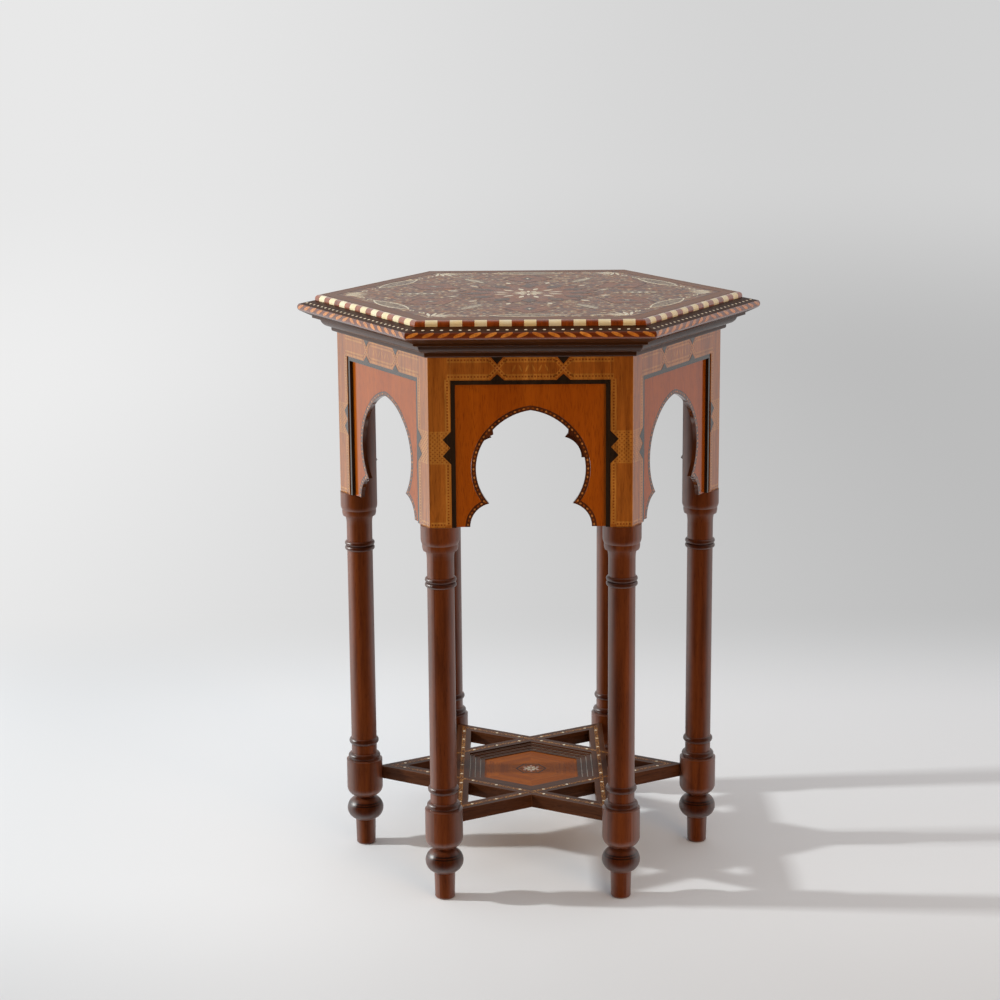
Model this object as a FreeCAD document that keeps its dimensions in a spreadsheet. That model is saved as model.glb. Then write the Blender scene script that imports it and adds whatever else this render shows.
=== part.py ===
import FreeCAD, Part
import math
import os
import re
import Sketcher

SIDES = 6
TURN = 360 / SIDES
LEFT = "left"
RIGHT = "right"

# Driving sizes in millimetres, angles in degrees, counts and shares
SIZES = {
    # the table as a whole
    "height": 700.0,
    "leg_circle": 210.0,
    "face_offset": 19.1,
    "apron_height": 217.5,
    # fits between pieces, and how far a cut runs past what it cuts
    "clearance": 0.3,
    "glue_line": 0.15,
    "overrun": 5.0,
    # table top: veneered core, chequered ovolo and a sloping edge moulding with a rounded lip
    "veneer_thickness": 2.0,
    "core_thickness": 23.0,
    "core_overhang": 17.0,
    "chequer_width": 5.2,
    "chequer_flat": 0.4,
    "chequer_height": 8.0,
    "slope_drop": 1.8,
    "bones_per_side": 9,
    "corner_share": 0.13,
    "bone_share": 0.5,
    "lip_projection": 24.0,
    "lip_nose": 2.0,
    "lip_height": 8.2,
    "lip_rise": 6.2,
    "lip_soffit": 9.8,
    # cornice under the top: bead, ovolo and fillet
    "cornice_height": 19.4,
    "bead_projection": 5.8,
    "bead_round": 2.4,
    "bead_height": 5.6,
    "ovolo_projection": 17.2,
    "ovolo_rise": 14.0,
    "fillet_projection": 25.8,
    "fillet_height": 2.8,
    # apron frame: stiles, rail and the black liner round each opening
    "frame_thickness": 5.0,
    "stile_width": 25.4,
    "rail_height": 46.3,
    "tenon_length": 8.0,
    "tenon_thickness": 2.0,
    "tenon_shoulder": 6.0,
    "liner_width": 5.2,
    "liner_setback": 1.0,
    # fretted panel, its lobed arch and the banding that edges it
    "panel_thickness": 5.0,
    "panel_lap": 5.4,
    "spring_height": 67.5,
    "lobe_radius": 62.6,
    "join_angle": 46.1,
    "lobe_end_angle": 40.0,
    "point_radius": 71.8,
    "point_offset": 9.9,
    "point_drop": 3.0,
    "tooth_start_angle": 33.0,
    "tooth_angle": 43.7,
    "tooth_end_angle": 48.5,
    "tooth_depth": 4.0,
    "foot_half": 69.7,
    "banding_width": 5.5,
    # turned leg, from the floor up
    "toe_radius": 11.9,
    "toe_round": 2.6,
    "peg_radius": 12.6,
    "peg_height": 33.0,
    "ball_height": 29.0,
    "neck_radius": 9.8,
    "neck_height": 2.2,
    "roundover_height": 11.4,
    "block_radius": 22.4,
    "block_height": 36.4,
    "collar_setback": 3.6,
    "collar_gap": 1.2,
    "collar_height": 7.6,
    "waist_height": 11.6,
    "shaft_radius": 15.8,
    "ring_projection": 2.6,
    "lower_ring_height": 8.2,
    # turned leg, from the apron down and up into the top
    "upper_ring_height": 6.0,
    "ring_drop": 62.0,
    "flare_projection": 1.6,
    "flare_height": 9.8,
    "step_projection": 2.6,
    "step_height": 7.5,
    "step_taper": 0.8,
    "capital_drop": 22.5,
    "capital_radius": 22.6,
    "capital_round": 1.8,
    "capital_roundover": 6.5,
    "spigot_radius": 10.5,
    "spigot_length": 13.0,
    # star stretcher and the small shelf that it carries
    "tip_depth": 4.0,
    "bar_width": 18.0,
    "bar_height": 16.0,
    "bar_drop": 10.0,
    "board_thickness": 6.0,
    "board_lap": 6.0,
    "moulding_width": 19.5,
    "outer_step_height": 8.0,
    "middle_step_height": 6.5,
    "inner_step_height": 5.4,
    "field_thickness": 4.5,
    "medallion_apothem": 20.0,
    "medallion_thickness": 1.5,
}

# Sizes that follow from the driving ones, as formulas of the same sheet
DERIVED = {
    "core_under": "height - veneer_thickness - core_thickness",
    "apron_bottom": "core_under - apron_height",
    "apron_apothem": "leg_circle * cos(30) + face_offset",
    "frame_back": "apron_apothem - frame_thickness",
    "frame_middle": "apron_apothem - frame_thickness / 2",
    "panel_back": "frame_back - panel_thickness",
    "frame_half": "apron_apothem * tan(30)",
    "stile_edge": "frame_half - stile_width",
    "panel_half": "stile_edge + panel_lap",
    "rail_bottom": "core_under - rail_height",
    "core_apothem": "apron_apothem + core_overhang",
    "chequer_edge": "core_apothem + chequer_width",
    "chequer_round": "chequer_width - chequer_flat",
    "chequer_seat": "height - chequer_height",
    "chequer_pitch": "2 * core_apothem * tan(30) / (bones_per_side + corner_share)",
    "bone_length": "chequer_pitch * bone_share",
    "lip_apothem": "core_apothem + lip_projection",
    "lip_nose_radius": "((lip_height / 2)^2 + lip_nose^2) / (2 * lip_nose)",
    "cornice_bottom": "core_under - cornice_height",
    "spring_level": "apron_bottom + spring_height",
    "point_level": "spring_level - point_drop",
    "cusp_x": "lobe_radius * cos(lobe_end_angle)",
    "cusp_z": "spring_level - lobe_radius * sin(lobe_end_angle)",
    "foot_run": "foot_half - cusp_x",
    "foot_radius": "(foot_run^2 + (cusp_z - apron_bottom)^2) / (2 * foot_run)",
    "foot_centre": "foot_half - foot_radius",
    "ball_top": "peg_height + ball_height",
    "block_foot": "ball_top + neck_height",
    "block_start": "block_foot + roundover_height",
    "block_top": "block_start + block_height",
    "collar_foot": "block_top + collar_gap",
    "waist_start": "collar_foot + collar_height",
    "lower_ring": "waist_start + waist_height",
    "lower_ring_round": "((lower_ring_height / 2)^2 + ring_projection^2) / (2 * ring_projection)",
    "upper_ring": "apron_bottom - ring_drop",
    "upper_ring_round": "((upper_ring_height / 2)^2 + ring_projection^2) / (2 * ring_projection)",
    "capital_start": "apron_bottom - capital_drop",
    "step_start": "capital_start - step_height",
    "step_radius": "shaft_radius + flare_projection + step_projection",
    "flat_offset": "frame_back - leg_circle * cos(30)",
    "slot_offset": "panel_back - leg_circle * cos(30)",
    "slot_start": "leg_circle * sin(30) - panel_half - clearance",
    "tip_radius": "leg_circle - block_radius + tip_depth",
    "bar_outer": "tip_radius / 2",
    "bar_inner": "bar_outer - bar_width",
    "bar_middle": "bar_outer - bar_width / 2",
    "bar_top": "block_top - bar_drop",
    "bar_bottom": "bar_top - bar_height",
    "crossing_x": "bar_middle * tan(30)",
    "board_apothem": "bar_inner + board_lap",
    "board_top": "bar_bottom + board_thickness",
    "field_apothem": "bar_inner - moulding_width",
    "step_width": "moulding_width / 3",
    "field_top": "board_top + field_thickness",
}

doc = FreeCAD.newDocument("hexagonal_table")
sheet = doc.addObject("Spreadsheet::Sheet", "Sizes")
NAMES = list(SIZES) + list(DERIVED)


def fill_sheet():
    """Writes every size to the sheet under its own name."""
    for row, name in enumerate(NAMES, start=1):
        sheet.set(f"A{row}", name)
        text = str(SIZES[name]) if name in SIZES else "=" + DERIVED[name]
        sheet.set(f"B{row}", text)
        sheet.setAlias(f"B{row}", name)
    doc.recompute()


def bound(text):
    """Turns a formula of size names into an expression that reads the sheet."""
    return re.sub(r"[a-z_]+", lambda word: "Sizes." + word[0] if word[0] in NAMES else word[0], text)


def value(text):
    return float(sheet.evalExpression(bound(text)))


def minus(text):
    return f"-({text})"


def mirrored(corners):
    """The same path reflected in the vertical axis and walked the other way."""
    path = []
    for index in range(len(corners) - 1, -1, -1):
        edge = corners[index - 1][2:] if index else ()
        path.append((minus(corners[index][0]), corners[index][1], *edge))
    return path


def reversed_path(corners):
    """The same path walked the other way, so that its arcs turn to the other side."""
    path = []
    for index in range(len(corners) - 1, -1, -1):
        edge = corners[index - 1][2:] if index else ()
        if edge:
            edge = (LEFT if edge[0] == RIGHT else RIGHT, edge[1])
        path.append((*corners[index][:2], *edge))
    return path


def radius_of(corner, following):
    """An arc's radius: given by name, or worked out from the angle that it sweeps."""
    if isinstance(corner[3], str):
        return corner[3]
    run = f"({following[0]} - ({corner[0]}))"
    rise = f"({following[1]} - ({corner[1]}))"
    return f"sqrt({run}^2 + {rise}^2) / (2 * sin({corner[3]} / 2))"


def arc_between(start, stop, turn, radius):
    """A sketch arc under a half circle, and which of its ends lies at the start."""
    chord = stop - start
    across = FreeCAD.Vector(-chord.y, chord.x, 0).normalize()
    height = math.sqrt(max(radius**2 - (chord.Length / 2) ** 2, 0))
    side = 1 if turn == LEFT else -1
    centre = (start + stop) / 2 + across * height * side
    first, last = (start, stop) if turn == LEFT else (stop, start)
    angles = [math.atan2(end.y - centre.y, end.x - centre.x) for end in (first, last)]
    if angles[1] < angles[0]:
        angles[1] += 2 * math.pi
    circle = Part.Circle(centre, FreeCAD.Vector(0, 0, 1), radius)
    return Part.ArcOfCircle(circle, *angles), (1, 2) if turn == LEFT else (2, 1)


def tie(sketch, constraint, formula):
    """Adds a dimension to a sketch and ties it to a formula of sizes."""
    number = sketch.addConstraint(constraint)
    sketch.setExpression(f"Constraints[{number}]", bound(formula))


def draw(sketch, corners):
    """Draws a closed outline whose every corner and arc is tied to the sheet."""
    points = [FreeCAD.Vector(value(corner[0]), value(corner[1]), 0) for corner in corners]
    first = sketch.GeometryCount
    ends = []
    for index, corner in enumerate(corners):
        following = (index + 1) % len(corners)
        edge = Part.LineSegment(points[index], points[following])
        order = (1, 2)
        if len(corner) > 2:
            radius = value(radius_of(corner, corners[following]))
            edge, order = arc_between(points[index], points[following], corner[2], radius)
        sketch.addGeometry(edge, False)
        ends.append(order)
    for index in range(len(corners)):
        following = (index + 1) % len(corners)
        stop = (first + index, ends[index][1])
        start = (first + following, ends[following][0])
        sketch.addConstraint(Sketcher.Constraint("Coincident", *stop, *start))
    for index, corner in enumerate(corners):
        end = (first + index, ends[index][0])
        for axis, kind, formula in ((-2, "DistanceX", corner[0]), (-1, "DistanceY", corner[1])):
            if formula == "0":
                sketch.addConstraint(Sketcher.Constraint("PointOnObject", *end, axis))
            else:
                tie(sketch, Sketcher.Constraint(kind, -1, 1, *end, value(formula)), formula)
        if len(corner) > 2:
            formula = radius_of(corner, corners[(index + 1) % len(corners)])
            tie(sketch, Sketcher.Constraint("Radius", first + index, value(formula)), formula)


def plane_of(body, role):
    return next(feature for feature in body.Origin.OriginFeatures if feature.Role == role)


def sketch_on(body, role, name, outlines, offset=None):
    sketch = body.newObject("Sketcher::SketchObject", name)
    sketch.AttachmentSupport = (plane_of(body, role), [""])
    sketch.MapMode = "FlatFace"
    if offset:
        sketch.setExpression("AttachmentOffset.Base.z", bound(offset))
    for corners in outlines:
        draw(sketch, corners)
    return sketch


def extrude(body, kind, sketch, name, length, symmetric=False, backwards=False):
    feature = body.newObject(kind, name)
    feature.Profile = sketch
    feature.setExpression("Length", bound(length))
    if symmetric:
        feature.SideType = "Symmetric"
    feature.Reversed = backwards
    sketch.Visibility = False
    return feature


def pad(body, sketch, name, length, symmetric=False):
    return extrude(body, "PartDesign::Pad", sketch, name, length, symmetric)


def pocket_up(body, sketch, name, length):
    """Cuts upwards from a level sketch, and checks that something was cut."""
    doc.recompute()
    before = body.Shape.Volume
    feature = extrude(body, "PartDesign::Pocket", sketch, name, length, backwards=True)
    doc.recompute()
    if not body.Shape.Volume < before:
        raise RuntimeError(f"{name} of {body.Label} cuts nothing")
    return feature


def ring_of_sides(body):
    """Repeats a whole body round the table, as one piece on each side."""
    doc.recompute()
    ring = body.newObject("PartDesign::PolarPattern", "ring")
    ring.TransformMode = "Whole shape"
    ring.Axis = (plane_of(body, "Z_Axis"), [""])
    ring.Angle = 360
    ring.Occurrences = SIDES
    body.Tip = ring


def row_of_bones(body, feature):
    """Repeats a chequer block, or its notch, along one side."""
    row = body.newObject("PartDesign::LinearPattern", "row")
    row.Originals = [feature]
    row.Direction = (plane_of(body, "X_Axis"), [""])
    row.Mode = "Spacing"
    row.setExpression("Offset", bound("chequer_pitch"))
    row.setExpression("Occurrences", bound("bones_per_side"))
    body.Tip = row


def new_body(label, angle=0.0):
    body = doc.addObject("PartDesign::Body", label)
    body.Label = label
    body.Placement.Rotation = FreeCAD.Rotation(FreeCAD.Vector(0, 0, 1), angle)
    return body


def rectangle(left, right, low, high):
    return [(left, low), (right, low), (right, high), (left, high)]


def hexagon(apothem, turned=0):
    """A regular outline with a flat side across +Y, turned by an angle."""
    return [
        (
            f"({apothem}) / cos(30) * cos({corner * TURN + turned})",
            f"({apothem}) / cos(30) * sin({corner * TURN + turned})",
        )
        for corner in range(SIDES)
    ]


def leg_profile():
    """Half section of the turned leg, from the floor up to its spigot."""
    return [
        ("0", "0"),
        ("toe_radius - toe_round", "0", LEFT, 80),
        ("toe_radius", "toe_round"),
        ("peg_radius", "peg_height", LEFT, 153),
        ("neck_radius", "ball_top"),
        ("neck_radius", "block_foot", LEFT, 92),
        ("block_radius", "block_start"),
        ("block_radius", "block_top"),
        ("block_radius - collar_setback", "collar_foot", LEFT, 130),
        ("shaft_radius", "waist_start"),
        ("shaft_radius", "lower_ring", LEFT, "lower_ring_round"),
        ("shaft_radius", "lower_ring + lower_ring_height"),
        ("shaft_radius", "upper_ring - 2 * upper_ring_height", LEFT, "upper_ring_round"),
        ("shaft_radius", "upper_ring - upper_ring_height", LEFT, "upper_ring_round"),
        ("shaft_radius", "upper_ring"),
        ("shaft_radius", "step_start - flare_height", RIGHT, 18),
        ("shaft_radius + flare_projection", "step_start"),
        ("step_radius", "step_start", LEFT, 30),
        ("step_radius + step_taper", "capital_start"),
        ("capital_radius - capital_round", "capital_start", LEFT, 35),
        ("capital_radius", "capital_start + capital_roundover"),
        ("capital_radius", "core_under"),
        ("spigot_radius", "core_under"),
        ("spigot_radius", "core_under + spigot_length"),
        ("0", "core_under + spigot_length"),
    ]


def leg_seat():
    """What the frame and the two panels take out of the leg's outer side, in plan."""

    def corner(outwards, along):
        return (
            f"({outwards}) * cos(30) - ({along}) * sin(30)",
            f"({outwards}) * sin(30) + ({along}) * cos(30)",
        )

    far = "2 * capital_radius"
    half = [
        corner("flat_offset", "slot_start"),
        corner("slot_offset", "slot_start"),
        corner("slot_offset", far),
        (far, corner("slot_offset", far)[1]),
    ]
    other = [(x, minus(y)) for x, y in reversed(half)]
    return [("flat_offset / cos(30)", "0"), *half, *other]


def make_leg(number):
    angle = number * TURN - 2 * TURN
    body = new_body(f"leg_{number}", angle)
    body.setExpression("Placement.Base.x", bound(f"leg_circle * cos({angle})"))
    body.setExpression("Placement.Base.y", bound(f"leg_circle * sin({angle})"))
    profile = sketch_on(body, "XZ_Plane", "profile", [leg_profile()])
    turning = body.newObject("PartDesign::Revolution", "turning")
    turning.Profile = profile
    turning.ReferenceAxis = (profile, ["V_Axis"])
    turning.Angle = 360
    seat = sketch_on(body, "XY_Plane", "apron_seat", [leg_seat()], "apron_bottom")
    pocket_up(body, seat, "apron_seat_cut", "apron_height")
    tip_half = "tip_depth * tan(30) + clearance"
    tip_end = "tip_radius - leg_circle + clearance"
    tip = rectangle("-block_radius - overrun", tip_end, minus(tip_half), tip_half)
    mortise = sketch_on(body, "XY_Plane", "star_mortise", [tip], "bar_bottom")
    pocket_up(body, mortise, "star_mortise_cut", "bar_height + clearance")


def lobe_corner(angle, radius):
    return (f"-({radius}) * cos({angle})", f"spring_level + ({radius}) * sin({angle})")


def arch_half(grow):
    """The lobed arch from its left foot to its point, with every arc grown alike."""
    lobe = f"(lobe_radius + {grow})"
    foot = f"(foot_radius + {grow})"
    point = f"(point_radius + {grow})"
    gap = "sqrt(foot_centre^2 + spring_height^2)"
    reach = f"(({gap}^2 + {lobe}^2 - {foot}^2) / (2 * {gap}))"
    rise = f"sqrt({lobe}^2 - {reach}^2)"
    cusp_x = f"({reach} * foot_centre + {rise} * spring_height) / {gap}"
    cusp_z = f"spring_level + ({rise} * foot_centre - {reach} * spring_height) / {gap}"
    return [
        (f"-foot_half - {grow}", "apron_bottom", RIGHT, foot),
        (minus(cusp_x), cusp_z, RIGHT, lobe),
        (*lobe_corner("join_angle", lobe), RIGHT, point),
        ("0", f"point_level + sqrt({point}^2 - point_offset^2)"),
    ]


def panel_arch():
    """The opening sawn in the panel, which the banding then lines."""
    left = arch_half("banding_width")
    return left[:-1] + mirrored(left)


def banding_outline():
    outer = arch_half("banding_width - glue_line")
    inner = arch_half("0")
    return outer[:-1] + mirrored(outer) + reversed_path(inner[:-1] + mirrored(inner))


def tooth():
    """The small cusp that the front arch alone has on its upper lobe, rooted in the banding."""
    root = "lobe_radius + banding_width / 2"
    return [
        (*lobe_corner("tooth_start_angle", root), LEFT, 20),
        lobe_corner("tooth_angle", "lobe_radius - tooth_depth"),
        lobe_corner("tooth_end_angle", root),
    ]


def make_panel(number):
    body = new_body(f"arch_panel_{number}", (number - 1) * TURN)
    arch = panel_arch()
    outline = [
        (minus("panel_half"), "apron_bottom"),
        *arch,
        ("panel_half", "apron_bottom"),
        ("panel_half", "core_under"),
        (minus("panel_half"), "core_under"),
    ]
    pad(body, sketch_on(body, "XZ_Plane", "fretwork", [outline], "panel_back"), "board", "panel_thickness")


def make_banding():
    body = new_body("arch_banding")
    sketch = sketch_on(body, "XZ_Plane", "banding", [banding_outline()], "panel_back")
    pad(body, sketch, "strip", "panel_thickness")
    ring_of_sides(body)
    teeth = sketch_on(body, "XZ_Plane", "teeth", [tooth(), mirrored(tooth())], "panel_back")
    pad(body, teeth, "front_teeth", "panel_thickness")


def make_rail(number):
    body = new_body(f"frame_rail_{number}", (number - 1) * TURN)
    face = rectangle(minus("stile_edge"), "stile_edge", "rail_bottom", "core_under")
    pad(body, sketch_on(body, "XZ_Plane", "face", [face], "frame_back"), "board", "frame_thickness")
    long_half = "stile_edge + tenon_length"
    tenon = rectangle(
        minus(long_half), long_half, "rail_bottom + tenon_shoulder", "core_under - tenon_shoulder"
    )
    tenon_sketch = sketch_on(body, "XZ_Plane", "tenon", [tenon], "frame_middle - tenon_thickness / 2")
    pad(body, tenon_sketch, "tenons", "tenon_thickness")


def make_stile(number, hand):
    """One stile, mitred to its neighbour on the table's corner and mortised for the rail."""
    body = new_body(f"frame_stile_{number}_{hand}", (number - 1) * TURN)
    outline = [
        ("stile_edge", minus("apron_apothem")),
        ("frame_half", minus("apron_apothem")),
        ("frame_back * tan(30)", minus("frame_back")),
        ("stile_edge", minus("frame_back")),
    ]
    mortise = rectangle(
        "stile_edge - overrun",
        "stile_edge + tenon_length + clearance",
        "-frame_middle - tenon_thickness / 2",
        "-frame_middle + tenon_thickness / 2",
    )
    if hand == LEFT:
        outline = mirrored(outline)
        mortise = mirrored(mortise)
    pad(body, sketch_on(body, "XY_Plane", "section", [outline], "apron_bottom"), "board", "apron_height")
    mortise_sketch = sketch_on(body, "XY_Plane", "rail_mortise", [mortise], "rail_bottom + tenon_shoulder")
    pocket_up(body, mortise_sketch, "rail_mortise_cut", "rail_height - 2 * tenon_shoulder")


def make_liners():
    """Three mitred black strips round each opening of the frame."""
    body = new_body("frame_liners")
    inner = "stile_edge - liner_width"
    side = [
        (inner, "apron_bottom"),
        ("stile_edge", "apron_bottom"),
        ("stile_edge", "rail_bottom - glue_line"),
        (inner, "rail_bottom - glue_line - liner_width"),
    ]
    top = [
        (f"-({inner}) + glue_line", "rail_bottom - liner_width"),
        (f"{inner} - glue_line", "rail_bottom - liner_width"),
        ("stile_edge - glue_line", "rail_bottom"),
        ("-stile_edge + glue_line", "rail_bottom"),
    ]
    strips = sketch_on(body, "XZ_Plane", "strips", [side, mirrored(side), top], "frame_back")
    pad(body, strips, "liner", "frame_thickness - liner_setback")
    ring_of_sides(body)


def mitre(body, inside, outside):
    """Saws both ends of a straight moulding to meet its neighbours at the table's corners."""
    half = [
        (f"({inside}) * tan(30)", inside),
        (f"({inside}) * tan(30) + 2 * ({outside})", inside),
        (f"({inside}) * tan(30) + 2 * ({outside})", outside),
        (f"({outside}) * tan(30)", outside),
    ]
    sketch = sketch_on(body, "XY_Plane", "mitres", [half, mirrored(half)])
    pocket_up(body, sketch, "mitre_cut", "height + overrun")


def make_moulding(body, corners, outermost):
    """A straight run of moulding on the side across +Y, drawn in section."""
    section = sketch_on(body, "YZ_Plane", "section", [corners])
    pad(body, section, "run", f"2 * ({outermost})", symmetric=True)
    mitre(body, "core_apothem / 2", f"{outermost} + overrun")


def make_cornice(number):
    body = new_body(f"cornice_{number}", (number - 1) * TURN + 180)
    bead = "apron_apothem + bead_projection"
    section = [
        ("apron_apothem", "cornice_bottom"),
        (f"{bead} - bead_round", "cornice_bottom", LEFT, 90),
        (bead, "cornice_bottom + bead_round"),
        (bead, "cornice_bottom + bead_height", LEFT, 80),
        ("apron_apothem + ovolo_projection", "cornice_bottom + ovolo_rise"),
        ("apron_apothem + fillet_projection", "core_under - fillet_height"),
        ("apron_apothem + fillet_projection", "core_under"),
        ("apron_apothem", "core_under"),
    ]
    make_moulding(body, section, "apron_apothem + fillet_projection")


def make_edge(number):
    body = new_body(f"edge_moulding_{number}", (number - 1) * TURN + 180)
    nose = "lip_apothem - lip_nose"
    section = [
        ("core_apothem", "core_under"),
        ("core_apothem + lip_soffit", "core_under"),
        (nose, "core_under + lip_rise", LEFT, "lip_nose_radius"),
        (nose, "core_under + lip_rise + lip_height"),
        ("chequer_edge", "height - chequer_round - slope_drop"),
        ("chequer_edge", "chequer_seat"),
        ("core_apothem", "chequer_seat"),
    ]
    make_moulding(body, section, "lip_apothem")


def chequer_section():
    return [
        ("core_apothem", "chequer_seat"),
        ("chequer_edge", "chequer_seat"),
        ("chequer_edge", "height - chequer_round", LEFT, 90),
        ("chequer_edge - chequer_round", "height"),
        ("core_apothem", "height"),
    ]


def make_chequer():
    """Light and dark blocks in turn round the top, with dark ones mitred at the corners."""
    first_bone = "-chequer_pitch * (bones_per_side - 1) / 2"
    bone = new_body("chequer_bone")
    section = sketch_on(bone, "YZ_Plane", "section", [chequer_section()], first_bone)
    row_of_bones(bone, pad(bone, section, "block", "bone_length", symmetric=True))
    ring_of_sides(bone)
    dark = new_body("chequer_dark")
    make_moulding(dark, chequer_section(), "chequer_edge")
    notch = rectangle(
        f"{first_bone} - bone_length / 2",
        f"{first_bone} + bone_length / 2",
        "core_apothem - overrun",
        "chequer_edge + overrun",
    )
    sketch = sketch_on(dark, "XY_Plane", "notch", [notch], "chequer_seat - overrun")
    row_of_bones(dark, pocket_up(dark, sketch, "notch_cut", "chequer_height + 2 * overrun"))
    ring_of_sides(dark)


def make_top():
    core = new_body("top_core")
    board = sketch_on(core, "XY_Plane", "plan", [hexagon("core_apothem")], "core_under")
    pad(core, board, "board", "core_thickness")
    sketch = core.newObject("Sketcher::SketchObject", "leg_sockets")
    sketch.AttachmentSupport = (plane_of(core, "XY_Plane"), [""])
    sketch.MapMode = "FlatFace"
    sketch.setExpression("AttachmentOffset.Base.z", bound("core_under"))
    for corner in range(SIDES):
        x = f"leg_circle * cos({corner * TURN})"
        y = f"leg_circle * sin({corner * TURN})"
        socket = "spigot_radius + glue_line"
        centre = FreeCAD.Vector(value(x), value(y), 0)
        number = sketch.addGeometry(Part.Circle(centre, FreeCAD.Vector(0, 0, 1), value(socket)), False)
        tie(sketch, Sketcher.Constraint("Radius", number, value(socket)), socket)
        tie(sketch, Sketcher.Constraint("DistanceX", -1, 1, number, 3, value(x)), x)
        tie(sketch, Sketcher.Constraint("DistanceY", -1, 1, number, 3, value(y)), y)
    pocket_up(core, sketch, "leg_sockets_cut", "spigot_length + clearance")
    veneer = new_body("top_veneer")
    plan = sketch_on(veneer, "XY_Plane", "plan", [hexagon("core_apothem")], "height - veneer_thickness")
    pad(veneer, plan, "sheet", "veneer_thickness")


def make_bar(number):
    """One bar of the star, half-lapped over or under the two bars that cross it."""
    body = new_body(f"stretcher_bar_{number}", (number - 1) * TURN + TURN / 2)
    plan = [
        ("-bar_outer * tan(60)", minus("bar_outer")),
        ("bar_outer * tan(60)", minus("bar_outer")),
        ("bar_inner * tan(60)", minus("bar_inner")),
        ("-bar_inner * tan(60)", minus("bar_inner")),
    ]
    pad(body, sketch_on(body, "XY_Plane", "plan", [plan], "bar_bottom"), "bar", "bar_height")
    half = "bar_width / 2"
    lap = []
    for across, along in ((-1, -1), (1, -1), (1, 1), (-1, 1)):
        lap.append(
            (
                f"crossing_x + {across} * {half} * cos(30) + {along} * bar_width * cos(60)",
                f"-bar_middle - {across} * {half} * sin(30) + {along} * bar_width * sin(60)",
            )
        )
    level = "bar_bottom + bar_height / 2" if number % 2 else "bar_bottom - overrun"
    depth = "bar_height / 2 + overrun"
    pocket_up(body, sketch_on(body, "XY_Plane", "laps", [lap, mirrored(lap)], level), "lap_cut", depth)
    seat = hexagon("board_apothem + glue_line")
    rabbet = sketch_on(body, "XY_Plane", "board_rabbet", [seat], "bar_bottom - overrun")
    pocket_up(body, rabbet, "board_rabbet_cut", "board_thickness + overrun")


def make_shelf():
    """The small hexagonal shelf inside the star, with its stepped moulding and medallion."""
    turned = TURN / 2
    board = new_body("shelf_board", turned)
    plan = sketch_on(board, "XY_Plane", "plan", [hexagon("board_apothem")], "bar_bottom")
    pad(board, plan, "board", "board_thickness")
    moulding = new_body("shelf_moulding", turned)
    first = "field_apothem + step_width"
    second = "field_apothem + 2 * step_width"
    outer = "bar_inner - glue_line"
    section = [
        ("field_apothem", "board_top"),
        (outer, "board_top"),
        (outer, "board_top + outer_step_height"),
        (second, "board_top + outer_step_height"),
        (second, "board_top + middle_step_height"),
        (first, "board_top + middle_step_height"),
        (first, "board_top + inner_step_height"),
        ("field_apothem", "board_top + inner_step_height"),
    ]
    run = sketch_on(moulding, "YZ_Plane", "section", [section])
    pad(moulding, run, "run", "2 * bar_outer", symmetric=True)
    mitre(moulding, "field_apothem / 2", "bar_outer")
    ring_of_sides(moulding)
    field = new_body("shelf_field", turned)
    field_plan = sketch_on(field, "XY_Plane", "plan", [hexagon("field_apothem")], "board_top")
    pad(field, field_plan, "board", "field_thickness")
    sunk = "field_top - medallion_thickness"
    hollow = hexagon("medallion_apothem + glue_line", turned)
    recess = sketch_on(field, "XY_Plane", "recess", [hollow], sunk)
    pocket_up(field, recess, "recess_cut", "medallion_thickness + overrun")
    medallion = new_body("shelf_medallion", turned)
    inlay = sketch_on(medallion, "XY_Plane", "plan", [hexagon("medallion_apothem", turned)], sunk)
    pad(medallion, inlay, "inlay", "medallion_thickness")


def write_parts():
    """Stops on any failed object, then writes each piece to its own file."""
    doc.recompute()
    for item in doc.Objects:
        if "Invalid" in item.State or "Error" in item.State:
            raise RuntimeError(f"{item.Label} failed: {item.State}")
    bodies = [item for item in doc.Objects if item.TypeId == "PartDesign::Body"]
    for body in bodies:
        if body.Shape.isNull() or not body.Shape.isValid() or not body.Shape.Solids:
            raise RuntimeError(f"{body.Label} has no valid solid")
    os.makedirs("parts", exist_ok=True)
    for body in bodies:
        body.Shape.exportStep(f"parts/{body.Label}.step")
    print(f"{len(bodies)} pieces written")


fill_sheet()
for side in range(1, SIDES + 1):
    make_leg(side)
    make_panel(side)
    make_rail(side)
    make_stile(side, LEFT)
    make_stile(side, RIGHT)
    make_cornice(side)
    make_edge(side)
    make_bar(side)
make_banding()
make_liners()
make_top()
make_chequer()
make_shelf()
write_parts()
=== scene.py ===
import math

import bpy
from mathutils import Matrix, Vector


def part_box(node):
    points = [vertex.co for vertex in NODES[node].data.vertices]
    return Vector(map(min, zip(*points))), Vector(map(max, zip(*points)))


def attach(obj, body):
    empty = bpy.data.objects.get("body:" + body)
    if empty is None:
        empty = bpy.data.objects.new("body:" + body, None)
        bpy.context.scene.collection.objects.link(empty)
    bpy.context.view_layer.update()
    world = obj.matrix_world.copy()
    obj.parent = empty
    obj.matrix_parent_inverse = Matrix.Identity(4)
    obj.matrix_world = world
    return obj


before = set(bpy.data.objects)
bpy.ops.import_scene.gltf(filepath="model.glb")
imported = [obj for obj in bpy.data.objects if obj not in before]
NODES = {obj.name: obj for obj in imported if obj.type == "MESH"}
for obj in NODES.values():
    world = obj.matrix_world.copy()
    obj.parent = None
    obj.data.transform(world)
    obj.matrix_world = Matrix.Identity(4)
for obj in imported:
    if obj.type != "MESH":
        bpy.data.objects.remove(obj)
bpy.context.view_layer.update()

# The looks of the inlaid hexagonal table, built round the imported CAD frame. Lengths are in metres.

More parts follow.
